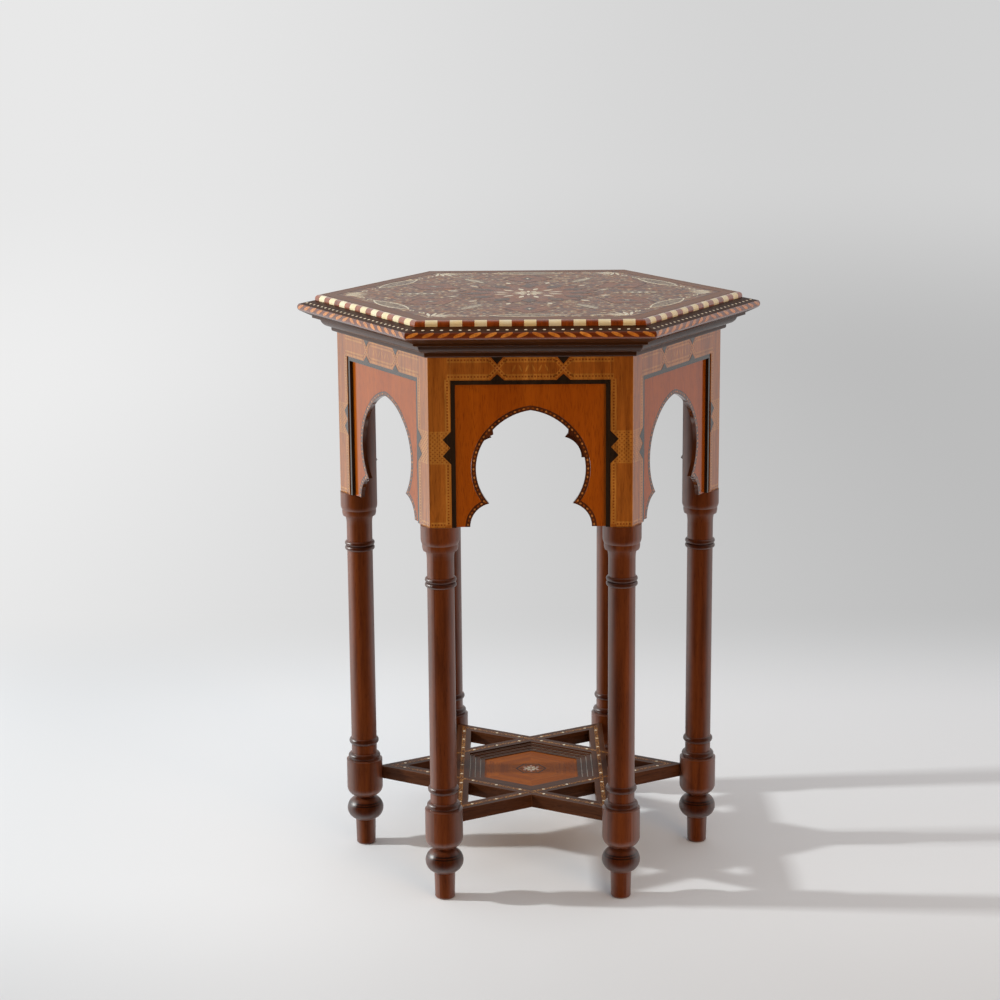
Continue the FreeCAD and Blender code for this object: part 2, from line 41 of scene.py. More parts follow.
MM = 0.001
SIDES = 6
STEP = 360 / SIDES
TURNS = [STEP * number for number in range(SIDES)]
SIDE_TURNS = (0, 60, 120)
BAR_TURNS = (30, 90, 150)
FRONT_DEGREES = 270
UP = Vector((0, 0, 1))
TAN30 = math.tan(math.radians(30))


def low(node):
    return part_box(node)[0]


def high(node):
    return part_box(node)[1]


# Places read from the CAD frame

APRON = -low("frame_rail_1").y
PANEL = -low("arch_panel_1").y
APRON_BOTTOM = low("frame_stile_1_left").z
RAIL_BOTTOM = low("frame_rail_1").z
RAIL_TOP = low("cornice_1").z
STILE_OUTER = -low("frame_stile_1_left").x
STILE_INNER = -high("frame_stile_1_left").x
TOP = high("top_veneer").z
TOP_APOTHEM = high("top_veneer").y
EDGE_TOP = high("edge_moulding_1").z
EDGE_UNDER = low("edge_moulding_1").z
LIP = -low("edge_moulding_1").y
BAR_TOP = high("stretcher_bar_1").z
BAR_TIP = high("stretcher_bar_1").x
FIELD_TOP = high("shelf_field").z
FIELD_APOTHEM = high("shelf_field").x
MOULDING_APOTHEM = high("shelf_moulding").x
MOULDING_UNDER = low("shelf_moulding").z
MEDALLION_APOTHEM = high("shelf_medallion").y

# Thickness of the inlay: how far it goes in, and how much each layer stands above the one under it

SUNK = 0.3 * MM
LAYER = 0.05 * MM


# Colours

def tint(red, green, blue):
    """A colour given in a picture's 0 to 255, as Blender's linear RGBA."""
    shares = [value / 255 for value in (red, green, blue)]
    linear = [s / 12.92 if s <= 0.04045 else ((s + 0.055) / 1.055) ** 2.4 for s in shares]
    return (*linear, 1.0)


WHITE = (1.0, 1.0, 1.0, 1.0)
BLACK = (0.0, 0.0, 0.0, 1.0)


# Materials: the polish shows at a slant and leaves the colour deep from straight ahead

SHEEN = 0.06
GLOSS = 0.12
POLISH_SPAN = (0.06, 0.45)
POLISH_IOR = 2.2
WORN_SPAN = (0.995, 0.90)
BEVEL_SAMPLES = 4
BUMP_DEPTH = 0.2 * MM
FINE_BUMP = 0.08

# Colour sockets of the Mix node
MIX_FIRST = 6
MIX_SECOND = 7
MIX_RESULT = 2


class Shader:
    """One material, with short calls for the nodes that the finishes here are made of."""

    def __init__(self, name, coat=0.0, gloss=GLOSS, sheen=SHEEN):
        self.material = bpy.data.materials.new(name)
        self.material.use_nodes = True
        self.tree = self.material.node_tree
        self.surface = self.tree.nodes["Principled BSDF"]
        self.position = self.add("ShaderNodeTexCoord").outputs["Object"]
        sockets = {"Specular IOR Level": sheen, "Coat Roughness": gloss, "Coat IOR": POLISH_IOR}
        if coat:
            facing = self.add("ShaderNodeLayerWeight").outputs["Facing"]
            sockets["Coat Weight"] = self.level(self.span(facing, *POLISH_SPAN), 0.0, coat)
        self.wire(self.surface, sockets)

    def add(self, kind, sockets=(), **settings):
        """A new node with its settings and what its sockets are fed."""
        node = self.tree.nodes.new(kind)
        for key, value in settings.items():
            setattr(node, key, value)
        self.wire(node, dict(sockets))
        return node

    def wire(self, node, sockets):
        """Links outputs to a node's sockets, given by name or number, or sets the sockets' own values."""
        for key, value in sockets.items():
            if isinstance(value, bpy.types.NodeSocket):
                self.tree.links.new(value, node.inputs[key])
            else:
                node.inputs[key].default_value = value

    def place(self, stretch, turn=0.0):
        """Object coordinates turned about the vertical and stretched along the grain."""
        sockets = {"Vector": self.position, "Rotation": (0, 0, math.radians(turn)), "Scale": stretch}
        return self.add("ShaderNodeMapping", sockets, vector_type="TEXTURE").outputs["Vector"]

    def noise(self, place, scale, detail, distortion=0.0):
        sockets = {"Vector": place, "Scale": scale, "Detail": detail, "Distortion": distortion}
        return self.add("ShaderNodeTexNoise", sockets).outputs["Fac"]

    def ramp(self, factor, *stops, stepped=False):
        node = self.add("ShaderNodeValToRGB", {"Fac": factor})
        node.color_ramp.interpolation = "CONSTANT" if stepped else "LINEAR"
        elements = node.color_ramp.elements
        while len(elements) < len(stops):
            elements.new(0.5)
        for element, (where, colour) in zip(elements, stops):
            element.position = where
            element.color = colour
        return node.outputs["Color"]

    def between(self, factor, first, last, stops=(0.0, 1.0)):
        """Runs from one colour to another between two stops of a 0 to 1 factor."""
        return self.ramp(factor, (stops[0], first), (stops[1], last))

    def axes(self, vector):
        """The X, Y and Z of a vector."""
        return self.add("ShaderNodeSeparateXYZ", {"Vector": vector}).outputs

    def level(self, factor, bottom, top):
        """Maps a 0 to 1 factor onto a range of plain numbers."""
        sockets = {"Value": factor, "To Min": bottom, "To Max": top}
        return self.add("ShaderNodeMapRange", sockets).outputs["Result"]

    def span(self, value, start, end):
        """0 before start, 1 after end, smooth between."""
        sockets = {"Value": value, "From Min": start, "From Max": end}
        return self.add("ShaderNodeMapRange", sockets, interpolation_type="SMOOTHSTEP").outputs["Result"]

    def blend(self, kind, factor, first, second):
        sockets = {"Factor": factor, MIX_FIRST: first, MIX_SECOND: second}
        node = self.add("ShaderNodeMix", sockets, data_type="RGBA", blend_type=kind)
        return node.outputs[MIX_RESULT]

    def shade(self, colour, strength, factor, dark, stops=(0.0, 1.0)):
        """Darkens a colour where the factor is low."""
        return self.blend("MULTIPLY", strength, colour, self.between(factor, dark, WHITE, stops))

    def math(self, operation, *values):
        return self.add("ShaderNodeMath", enumerate(values), operation=operation).outputs[0]

    def vector(self, operation, *values):
        return self.add("ShaderNodeVectorMath", enumerate(values), operation=operation).outputs

    def island(self):
        """A number that differs from one loose piece of a mesh to the next."""
        return self.add("ShaderNodeNewGeometry").outputs["Random Per Island"]

    def worn_edge(self, radius):
        """1 on sharp edges, 0 on flats."""
        bevel = self.add("ShaderNodeBevel", {"Radius": radius}, samples=BEVEL_SAMPLES)
        flat = self.add("ShaderNodeNewGeometry")
        dot = self.vector("DOT_PRODUCT", bevel.outputs["Normal"], flat.outputs["Normal"])
        return self.span(dot["Value"], *WORN_SPAN)

    def finish(self, colour, roughness, height, strength):
        """Sets the colour, the roughness and a bump of the strength given."""
        bump = self.add("ShaderNodeBump", {"Strength": strength, "Distance": BUMP_DEPTH, "Height": height})
        normal = bump.outputs["Normal"]
        self.wire(self.surface, {"Base Color": colour, "Roughness": roughness, "Normal": normal})
        return self.material

    def show(self, factor, first, second):
        """Puts a mix of two shaders on the surface."""
        mix = self.add("ShaderNodeMixShader", enumerate((factor, first, second)))
        self.wire(self.tree.nodes["Material Output"], {"Surface": mix.outputs["Shader"]})
        return self.material


# Wood: the scale of its figure, streaks and pores, and how they darken it

GRAIN_STRETCH = 14
FIGURE_SCALE = 34
FIGURE_TWIST = 0.7
FIGURE_STOPS = (0.30, 0.68)
STREAK_SCALE = 210
STREAK_STOPS = (0.32, 0.62)
STREAK_DARK = tint(165, 150, 140)
PORE_SCALE = 1300
PORE_STOPS = (0.30, 0.46)
PORE_DARK = tint(120, 95, 80)
PORE_STRENGTH = 0.45
PORE_BUMP = 0.12
WEAR_RADIUS = 1.2 * MM
WEAR_RANGE = (0.1, 0.9)
LINE_DARK = tint(120, 100, 90)
STAIN_DARK = tint(176, 164, 156)
RING_CORE = 0.5


def rings(shader, marks):
    """1 on rings round an upright piece, given as (height, half width) and soft at the rims, 0 elsewhere."""
    level = shader.axes(shader.position)["Z"]
    found = 0.0
    for height, half in marks:
        away = shader.math("ABSOLUTE", shader.math("SUBTRACT", level, height))
        found = shader.math("MAXIMUM", found, shader.span(away, half, half * RING_CORE))
    return found


def wood(name, dark, light, along="Z", turn=0.0, coat=1.0, gloss=GLOSS, roughness=(0.25, 0.42), wear=None,
         vary=0.0, streak=0.55, sheen=SHEEN, lines=(), stains=()):
    """Polished wood with its grain, and with worn edges, scored lines and stained rings if asked."""
    shader = Shader(name, coat, gloss, sheen)
    stretch = (1, 1, GRAIN_STRETCH) if along == "Z" else (GRAIN_STRETCH, 1, 1)
    place = shader.place(stretch, turn)
    figure = shader.noise(place, FIGURE_SCALE, detail=3, distortion=FIGURE_TWIST)
    streaks = shader.noise(place, STREAK_SCALE, detail=4)
    pores = shader.noise(place, PORE_SCALE, detail=2)
    colour = shader.between(figure, tint(*dark), tint(*light), FIGURE_STOPS)
    colour = shader.shade(colour, streak, streaks, STREAK_DARK, STREAK_STOPS)
    colour = shader.shade(colour, PORE_STRENGTH, pores, PORE_DARK, PORE_STOPS)
    if vary:
        piece = shader.level(shader.island(), 1.0 - vary, 1.0)
        colour = shader.shade(colour, 1.0, piece, BLACK)
    if wear is not None:
        edge = shader.math("MULTIPLY", shader.worn_edge(WEAR_RADIUS), shader.level(streaks, *WEAR_RANGE))
        colour = shader.blend("MIX", edge, colour, tint(*wear))
    if lines:
        colour = shader.blend("MULTIPLY", rings(shader, lines), colour, LINE_DARK)
    if stains:
        colour = shader.blend("MULTIPLY", rings(shader, stains), colour, STAIN_DARK)
    return shader.finish(colour, shader.level(streaks, *roughness), pores, PORE_BUMP)


# Bone and shell: fibres, clouds, and blocks that differ

FIBRE_STRETCH = (1, 1, 5)
FIBRE_SCALE = 420
FIBRE_STOPS = (0.3, 0.6)
FIBRE_DARK = tint(238, 226, 204)
FIBRE_STRENGTH = 0.2
CLOUD_SCALE = 60
CLOUD_STOPS = (0.3, 0.7)
BLOCK_STOPS = (0.0, 0.8)
BLOCK_DARK = tint(250, 243, 230)
BLOCK_STRENGTH = 0.8
BONE_ROUGHNESS = (0.25, 0.5)


def bone(name, dull, clean, coat=0.3):
    """Bone or pearl shell: faint fibres, and blocks that differ a little from each other."""
    shader = Shader(name, coat)
    fibres = shader.noise(shader.place(FIBRE_STRETCH), FIBRE_SCALE, detail=4)
    clouds = shader.noise(shader.position, CLOUD_SCALE, detail=2)
    colour = shader.between(clouds, tint(*dull), tint(*clean), CLOUD_STOPS)
    colour = shader.shade(colour, FIBRE_STRENGTH, fibres, FIBRE_DARK, FIBRE_STOPS)
    colour = shader.shade(colour, BLOCK_STRENGTH, shader.island(), BLOCK_DARK, BLOCK_STOPS)
    return shader.finish(colour, shader.level(fibres, *BONE_ROUGHNESS), fibres, FINE_BUMP)


# Mosaic: patches of stain over it, and the joints between its triangles, in line spacings

TOP_SHEEN = 0.08
PIECE_PITCH = 4.2 * MM
PATCH_SCALE = 55
PATCH_STOPS = (0.35, 0.65)
PATCH_DARK = tint(170, 150, 140)
PATCH_STRENGTH = 0.7
JOINT_SPAN = (0.10, 0.05)
HALF_SPACING = 0.5
FINE_SCALE = 900
MOSAIC_ROUGHNESS = (0.22, 0.36)


def lattice(shader, pitch, turn):
    """How far a point lies across one family of parallel lines, in line spacings."""
    return shader.axes(shader.place((pitch, pitch, pitch), turn))["Y"]


def mosaic(name, palette, line, pitch=PIECE_PITCH, sheen=TOP_SHEEN):
    """Fine mosaic: three families of lines cut the sheet into triangles, each of a wood picked by chance."""
    shader = Shader(name, sheen=sheen)
    across = [lattice(shader, pitch, turn) for turn in SIDE_TURNS]
    floors = [shader.math("FLOOR", value) for value in across]
    cell = shader.add("ShaderNodeCombineXYZ", enumerate(floors)).outputs["Vector"]
    chance = shader.add("ShaderNodeTexWhiteNoise", {"Vector": cell}, noise_dimensions="3D")
    gaps = [shader.math("PINGPONG", value, HALF_SPACING) for value in across]
    nearest = shader.math("MINIMUM", shader.math("MINIMUM", gaps[0], gaps[1]), gaps[2])
    stops = [(number / len(palette), tint(*shade)) for number, shade in enumerate(palette)]
    colour = shader.ramp(chance.outputs["Value"], *stops, stepped=True)
    patches = shader.noise(shader.position, PATCH_SCALE, detail=3)
    colour = shader.shade(colour, PATCH_STRENGTH, patches, PATCH_DARK, PATCH_STOPS)
    colour = shader.blend("MIX", shader.span(nearest, *JOINT_SPAN), colour, tint(*line))
    fine = shader.noise(shader.position, FINE_SCALE, detail=2)
    return shader.finish(colour, shader.level(patches, *MOSAIC_ROUGHNESS), fine, FINE_BUMP)


def by_direction(name, turns=SIDE_TURNS, **finish):
    """The same wood three times, for lengths along the hexagon's three directions or those of the bars."""
    return [wood(f"{name}_{turn}", along="X", turn=turn, **finish) for turn in turns]


# The finishes: colours in 0 to 255, lines and stains on the legs as (height, half width)

EDGE_SHEEN = 0.03
GROUND_PITCH = 6.4 * MM
STRING_PITCH = 2.6 * MM
BALL_LINES = [(53.5 * MM, 0.8 * MM), (56.2 * MM, 0.8 * MM)]
BEAD_STAINS = [(47.5 * MM, 15 * MM), (117 * MM, 4.6 * MM), (136.5 * MM, 5 * MM), (389.5 * MM, 7 * MM)]

leg_wood = wood(
    "leg_wood", (91, 42, 12), (121, 59, 22), coat=0.75, gloss=0.4, roughness=(0.3, 0.45),
    lines=BALL_LINES, stains=BEAD_STAINS,
)
panel_wood = wood("panel_wood", (160, 74, 4), (172, 84, 8), streak=0.2, coat=0.7)
frame_wood = wood("frame_wood", (160, 87, 24), (176, 103, 35), wear=(200, 138, 66))
band_wood = wood("band_wood", (186, 116, 42), (202, 134, 56), vary=0.12)
band_dot = wood("band_dot", (144, 72, 18), (164, 87, 25), vary=0.25)
amber = wood("amber", (194, 120, 54), (210, 138, 70), vary=0.15)
# Pale lines on the shelf's steps: painted highlight, with some edge wear
step_highlight_and_wear = wood("step_highlight_and_wear", (146, 136, 124), (172, 162, 150), coat=0.2)
ebony = wood("ebony", (38, 26, 16), (52, 36, 22), roughness=(0.3, 0.45))
dark_line = wood("dark_line", (46, 28, 16), (60, 38, 22), coat=0.0)
banding_wood = wood("banding_wood", (74, 36, 16), (98, 50, 22))
core_wood = wood("core_wood", (150, 112, 74), (176, 136, 94), along="X", coat=0.0, roughness=(0.5, 0.7))
cornice_woods = by_direction(
    "cornice_wood", dark=(52, 26, 8), light=(68, 36, 14), wear=(95, 58, 32), coat=0.4
)
edge_woods = by_direction(
    "edge_wood", dark=(60, 29, 9), light=(78, 42, 16), wear=(102, 62, 32), coat=0.0, sheen=EDGE_SHEEN
)
lip_woods = by_direction("lip_wood", dark=(104, 43, 10), light=(127, 56, 16))
border_woods = by_direction("border_wood", dark=(126, 74, 40), light=(150, 94, 54), coat=0.0, sheen=TOP_SHEEN)
bar_woods = by_direction(
    "bar_wood", BAR_TURNS, dark=(70, 39, 22), light=(92, 54, 32), wear=(124, 80, 52), coat=0.05
)
shelf_woods = by_direction(
    "shelf_wood", BAR_TURNS, dark=(150, 76, 20), light=(174, 95, 30), coat=0.0, streak=0.35, sheen=EDGE_SHEEN
)
rope_wood = wood("rope_wood", (222, 128, 44), (240, 154, 64), vary=0.2)
chequer_wood = wood("chequer_wood", (156, 70, 22), (180, 88, 31), vary=0.2)
rosewood = wood("rosewood", (84, 50, 34), (106, 66, 46), along="X", coat=0.0, vary=0.2, sheen=TOP_SHEEN)
chequer_bone = bone("chequer_bone_finish", (255, 232, 176), (255, 244, 212), coat=0.8)
edge_pearl = bone("edge_pearl", (250, 226, 190), (255, 240, 214))
pearl = bone("pearl", (232, 218, 188), (248, 238, 214))
top_ground = mosaic(
    "top_ground",
    [(94, 52, 30), (162, 104, 64), (188, 116, 62), (138, 82, 48), (188, 142, 98),
     (112, 66, 38), (172, 112, 66), (230, 204, 158)],
    (104, 60, 36), GROUND_PITCH,
)
grey_mosaic = mosaic(
    "grey_mosaic", [(206, 190, 156), (142, 112, 82), (176, 152, 120), (108, 80, 58)], (128, 96, 72)
)
dark_mosaic = mosaic(
    "dark_mosaic", [(92, 66, 52), (112, 80, 60), (98, 62, 46), (146, 114, 88)], (80, 54, 40)
)
red_mosaic = mosaic(
    "red_mosaic", [(150, 86, 50), (172, 106, 64), (132, 72, 42), (184, 126, 82)], (124, 68, 40)
)
gold_mosaic = mosaic(
    "gold_mosaic", [(190, 136, 70), (158, 98, 42), (120, 70, 34), (206, 150, 80)],
    (96, 58, 30), STRING_PITCH, SHEEN,
)


FINISHES = {
    "leg": [leg_wood],
    "arch_panel": [panel_wood],
    "arch_banding": [banding_wood],
    "frame_rail": [frame_wood],
    "frame_stile": [frame_wood],
    "frame_liners": [ebony],
    "cornice": cornice_woods,
    "edge_moulding": edge_woods,
    "top_core": [core_wood],
    "top_veneer": [top_ground],
    "chequer_bone": [chequer_bone],
    "chequer_dark": [chequer_wood],
    "stretcher_bar": bar_woods,
    "shelf_board": [core_wood],
    "shelf_moulding": bar_woods,
    "shelf_field": shelf_woods,
    "shelf_medallion": shelf_woods,
}


def dress_frame():
    """Gives each CAD node the finish of its kind, in turn where numbered ones have several."""
    for name, node in NODES.items():
        numbers = [int(word) for word in name.split("_") if word.isdigit()]
        number = numbers[0] if numbers else 1
        finishes = FINISHES[name.split(f"_{number}")[0]]
        node.data.materials.clear()
        node.data.materials.append(finishes[(number - 1) % len(finishes)])


# Inlay: thin closed plates, strips and shells let into the CAD surfaces. A pair of sizes is length and width

class Face:
    """A flat place on the table: u runs to the right and v up for someone who looks at it."""

    def __init__(self, origin, right, up):
        self.origin = origin
        self.right = right
        self.up = up
        self.normal = right.cross(up)

    def at(self, point, proud):
        return self.origin + self.right * point[0] + self.up * point[1] + self.normal * proud


def side_axes(side):
    """The outward and rightward directions of a side, side 0 being the front."""
    angle = math.radians(FRONT_DEGREES + STEP * side)
    outward = Vector((math.cos(angle), math.sin(angle), 0))
    return outward, Vector((-outward.y, outward.x, 0))


def side_face(side, apothem):
    outward, right = side_axes(side)
    return Face(outward * apothem, right, UP)


def level_face(height):
    return Face(UP * height, Vector((1, 0, 0)), Vector((0, 1, 0)))


def around(loop):
    """Each item of a closed loop with the one that follows it."""
    items = list(loop)
    return list(zip(items, items[1:] + items[:1]))


def area(outline):
    return sum(a[0] * b[1] - b[0] * a[1] for a, b in around(outline)) / 2


def add_object(name, data):
    """A new object in the scene."""
    made = bpy.data.objects.new(name, data)
    bpy.context.scene.collection.objects.link(made)
    return made


def add_mesh(name, vertices, faces, materials, **settings):
    """A new mesh object; each setting lists a value for every face."""
    mesh = bpy.data.meshes.new(name)
    mesh.from_pydata(vertices, [], faces)
    for material in materials:
        mesh.materials.append(material)
    for key, values in settings.items():
        mesh.polygons.foreach_set(key, values)
    mesh.update()
    return add_object(name, mesh)


class Inlay:
    """Plates of several materials on a face, gathered into one mesh that rides with the table."""

    def __init__(self, name, slot, face, *materials):
        self.name = name
        self.slot = slot
        self.face = face
        self.materials = materials
        self.vertices = []
        self.faces = []
        self.marks = []

    def mark_faces(self, faces, material):
        self.faces += faces
        self.marks += [self.materials.index(material)] * len(faces)

    def plate(self, outline, material, layer=1):
        """A flat piece with the outline given on the face."""
        outline = list(outline)
        if area(outline) < 0:
            outline.reverse()
        count = len(outline)
        start = len(self.vertices)
        self.vertices += [self.face.at(point, LAYER * layer) for point in outline]
        self.vertices += [self.face.at(point, -SUNK) for point in outline]
        top = [start + i for i in range(count)]
        under = [start + count + i for i in range(count)]
        sides = [(under[i], under[j], top[j], top[i]) for i, j in around(range(count))]
        self.mark_faces([top, under[::-1], *sides], material)

    def strip(self, path, width, material, layer=1, closed=False):
        """A band of even width along a path, mitred at its corners."""
        left, right = mitred(path, width, closed)
        turns = around(range(len(path)))
        for i, j in turns if closed else turns[:-1]:
            self.plate([right[i], right[j], left[j], left[i]], material, layer)

    def border(self, outer, inner, finishes):
        """Six lengths between two hexagons, each with the finish whose grain runs along it."""
        for i, j in around(range(SIDES)):
            self.plate([outer[i], outer[j], inner[j], inner[i]], finishes[(i + 2) % len(finishes)])

    def shell(self, rows, material, layer=1):
        """A curved patch: rows of (point, normal), as far apart as the curve needs."""
        start = len(self.vertices)
        count = len(rows[0])
        total = len(rows) * count
        flat = [pair for row in rows for pair in row]
        self.vertices += [point + normal * LAYER * layer for point, normal in flat]
        self.vertices += [point - normal * SUNK for point, normal in flat]
        corners = [start + r * count + c for r in range(len(rows) - 1) for c in range(count - 1)]
        outer = [(i, i + 1, i + count + 1, i + count) for i in corners]
        inner = [[index + total for index in reversed(face)] for face in outer]
        rim = [start + c for c in range(count)]
        rim += [start + r * count + count - 1 for r in range(1, len(rows))]
        rim += [start + total - 1 - c for c in range(1, count)]
        rim += [start + r * count for r in range(len(rows) - 2, 0, -1)]
        sides = [(a + total, b + total, b, a) for a, b in around(rim)]
        self.mark_faces([*outer, *inner, *sides], material)

    def make(self):
        piece = add_mesh(self.name, self.vertices, self.faces, self.materials, material_index=self.marks)
        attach(piece, "root")


def mitred(path, width, closed):
    """The left and right edges of a band along the path."""
    points = [Vector(point) for point in path]
    last = len(points) - 1
    left = []
    right = []
    for i, point in enumerate(points):
        before = points[i - 1] if i or closed else None
        after = points[(i + 1) % len(points)] if i < last or closed else None
        incoming = (point - before).normalized() if before else (after - point).normalized()
        outgoing = (after - point).normalized() if after else incoming
        across = Vector((-incoming.y - outgoing.y, incoming.x + outgoing.x)).normalized()
        reach = width / 2 / across.dot(Vector((-incoming.y, incoming.x)))
        left.append(point + across * reach)
        right.append(point - across * reach)
    return left, right


# Outlines

OVAL_STEPS = 10


def polar(radius, degrees, centre=(0, 0)):
    angle = math.radians(degrees)
    return Vector((centre[0] + radius * math.cos(angle), centre[1] + radius * math.sin(angle)))


def arc(centre, radius, start, end, steps):
    return [polar(radius, start + (end - start) * i / steps, centre) for i in range(steps + 1)]


def turned(outline, degrees):
    turn = Matrix.Rotation(math.radians(degrees), 2)
    return [turn @ Vector(point) for point in outline]


def moved(outline, u, v):
    return [Vector((point[0] + u, point[1] + v)) for point in outline]


def mirrored(outline, mirror):
    """The outline as it is, or flipped over where mirror is -1."""
    return [Vector((mirror * point[0], point[1])) for point in outline]


def rhombus(length, width, at, degrees=0):
    outline = [(length / 2, 0), (0, width / 2), (-length / 2, 0), (0, -width / 2)]
    return moved(turned(outline, degrees), *at)


def square(size, at, degrees):
    return rhombus(size * math.sqrt(2), size * math.sqrt(2), at, degrees + 45)


def oval(length, width, at):
    ring = [(length / 2 * math.cos(a), width / 2 * math.sin(a)) for a in full_turn(OVAL_STEPS)]
    return moved(ring, *at)


def full_turn(count):
    return [2 * math.pi * i / count for i in range(count)]


def lens(length, width, steps=8):
    """A pointed oval: two arcs that meet at its ends, along u."""
    sagitta = width / 2
    radius = (length ** 2 / 4 + sagitta ** 2) / (2 * sagitta)
    reach = math.degrees(math.asin(length / 2 / radius))
    upper = arc((0, sagitta - radius), radius, 90 - reach, 90 + reach, steps)
    return upper[:-1] + [-point for point in upper[:-1]]


def hexagon(apothem, pointed=0):
    """A hexagon with a corner on the direction given, in degrees."""
    corner = apothem / math.cos(math.radians(STEP / 2))
    return [polar(corner, pointed + STEP * i) for i in range(SIDES)]


def spaced(path, pitch):
    """Points at an even pitch along a path, with the direction there, as (point, degrees)."""
    points = [Vector(point) for point in path]
    runs = [(b - a).length for a, b in zip(points, points[1:])]
    count = max(1, round(sum(runs) / pitch))
    gap = sum(runs) / count
    places = []
    walked = 0.0
    target = gap / 2
    for a, b, run in zip(points, points[1:], runs):
        while target <= walked + run and len(places) < count:
            heading = math.degrees(math.atan2(b.y - a.y, b.x - a.x))
            places.append((a.lerp(b, (target - walked) / run), heading))
            target += gap
        walked += run
    return places


# Apron: dotted bands, pinched cartouches, the stiles' mosaics and the arch's dots

BAND_WIDTH = 6.0 * MM
BAND_PITCH = 3.6 * MM
DOT_SIZE = 1.9 * MM
RAIL_BAND_LOW = RAIL_BOTTOM + 4.0 * MM
RAIL_BAND_HIGH = RAIL_TOP - 3.8 * MM
PINCH_AT = 37.4 * MM
PINCH_HALF = 9 * MM
PINCH_LOWER = (7.6 * MM, 7 * MM)
PINCH_UPPER = (7.4 * MM, -8.6 * MM)
CROSS_WIDTH = 4.2 * MM
WAIST_LEVEL = (RAIL_BAND_LOW + RAIL_BAND_HIGH) / 2
WAIST_SIZE = 6 * MM
WAIST_DOT = 2.6 * MM
STILE_BAND_AT = STILE_INNER + 3.6 * MM
STILE_BAND_FOOT = APRON_BOTTOM + 3.6 * MM
STILE_BAND_END = STILE_OUTER - 1.5 * MM
MOTIF_LOW = APRON_BOTTOM + 74.5 * MM
MOTIF_HIGH = APRON_BOTTOM + 112.5 * MM
MOTIF_MIDDLE = (MOTIF_LOW + MOTIF_HIGH) / 2
MOTIF_QUARTER = (MOTIF_HIGH - MOTIF_LOW) / 4
MOTIF_DEPTH = 9.2 * MM
MOTIF_VALLEY = 0.8 * MM
MOTIF_OUTER = STILE_OUTER - 0.8 * MM
CELL_COLUMNS = 9
CELL_ROWS = 4
CELL_WIDTH = 5.2 * MM
CELL_HEIGHT = 4.75 * MM
CELL_DOT = 2.0 * MM
STROKES = 6
STROKE = (10 * MM, 2.2 * MM)
STROKE_PITCH = 7.4 * MM
STROKE_LEAN = 24


def dotted_band(inlay, path, width=BAND_WIDTH):
    inlay.strip(path, width, band_wood)
    for point, heading in spaced(path, BAND_PITCH):
        inlay.plate(square(DOT_SIZE, point, heading), band_dot, layer=2)


def rail_bands(inlay):
    """Three cartouches along the rail, whose dotted bands cross over where the black triangles pinch them."""
    near = PINCH_AT - PINCH_HALF
    far = PINCH_AT + PINCH_HALF
    for start, stop in ((-STILE_BAND_AT, -far), (-near, near), (far, STILE_BAND_AT)):
        for height in (RAIL_BAND_LOW, RAIL_BAND_HIGH):
            dotted_band(inlay, [(start, height), (stop, height)])
    for centre in (-PINCH_AT, PINCH_AT):
        for lean in (-1, 1):
            foot = (centre - lean * PINCH_HALF, RAIL_BAND_LOW)
            head = (centre + lean * PINCH_HALF, RAIL_BAND_HIGH)
            dotted_band(inlay, [foot, head], CROSS_WIDTH)
        waist = (centre, WAIST_LEVEL)
        inlay.plate(rhombus(WAIST_SIZE, WAIST_SIZE, waist), amber, layer=3)
        inlay.plate(rhombus(WAIST_DOT, WAIST_DOT, waist), band_dot, layer=4)


def rail_strokes(inlay):
    """Slanted strokes in the middle cartouche."""
    for number in range(STROKES):
        along = STROKE_PITCH * (number - (STROKES - 1) / 2)
        lean = STROKE_LEAN if number % 2 else -STROKE_LEAN
        stroke = turned(lens(*STROKE), 90 + lean)
        inlay.plate(moved(stroke, along, WAIST_LEVEL), band_wood)


def rail_triangles(inlay):
    """Black triangles at the pinches, as half width and rise from the rail's edge."""
    for centre in (-PINCH_AT, PINCH_AT):
        for (half, rise), edge in ((PINCH_LOWER, RAIL_BOTTOM), (PINCH_UPPER, RAIL_TOP)):
            triangle = [(-half, 0), (half, 0), (0, rise)]
            inlay.plate(moved(triangle, centre, edge), ebony, layer=5)


def stile_outlines():
    """The right stile's outlines: its black double triangle and the mosaic beside it."""
    tip = STILE_INNER + MOTIF_DEPTH
    zigzag = [
        (STILE_INNER, MOTIF_LOW), (tip, MOTIF_MIDDLE - MOTIF_QUARTER),
        (STILE_INNER + MOTIF_VALLEY, MOTIF_MIDDLE),
        (tip, MOTIF_MIDDLE + MOTIF_QUARTER), (STILE_INNER, MOTIF_HIGH),
    ]
    field = zigzag + [(MOTIF_OUTER, MOTIF_HIGH), (MOTIF_OUTER, MOTIF_LOW)]
    return zigzag, field


def zigzag_depth(away):
    """How far the black triangles reach over the stile, by the distance above or below their middle."""
    return MOTIF_DEPTH * max(0.0, 1 - abs(abs(away) - MOTIF_QUARTER) / MOTIF_QUARTER)


def stile_cells():
    """Centres of the mosaic's dots on the right stile, in staggered columns clear of the triangles."""
    inner = STILE_INNER + CELL_DOT / 2
    centres = []
    for column in range(CELL_COLUMNS):
        u = MOTIF_OUTER - CELL_WIDTH / 2 * (column + 0.5)
        first = -CELL_ROWS if column % 2 else 1 - CELL_ROWS
        shift = CELL_HEIGHT / 2 if column % 2 else 0.0
        centres += [(u, MOTIF_MIDDLE + CELL_HEIGHT * row + shift) for row in range(first, CELL_ROWS)]
    return [(u, v) for u, v in centres if u > inner + zigzag_depth(v - MOTIF_MIDDLE)]


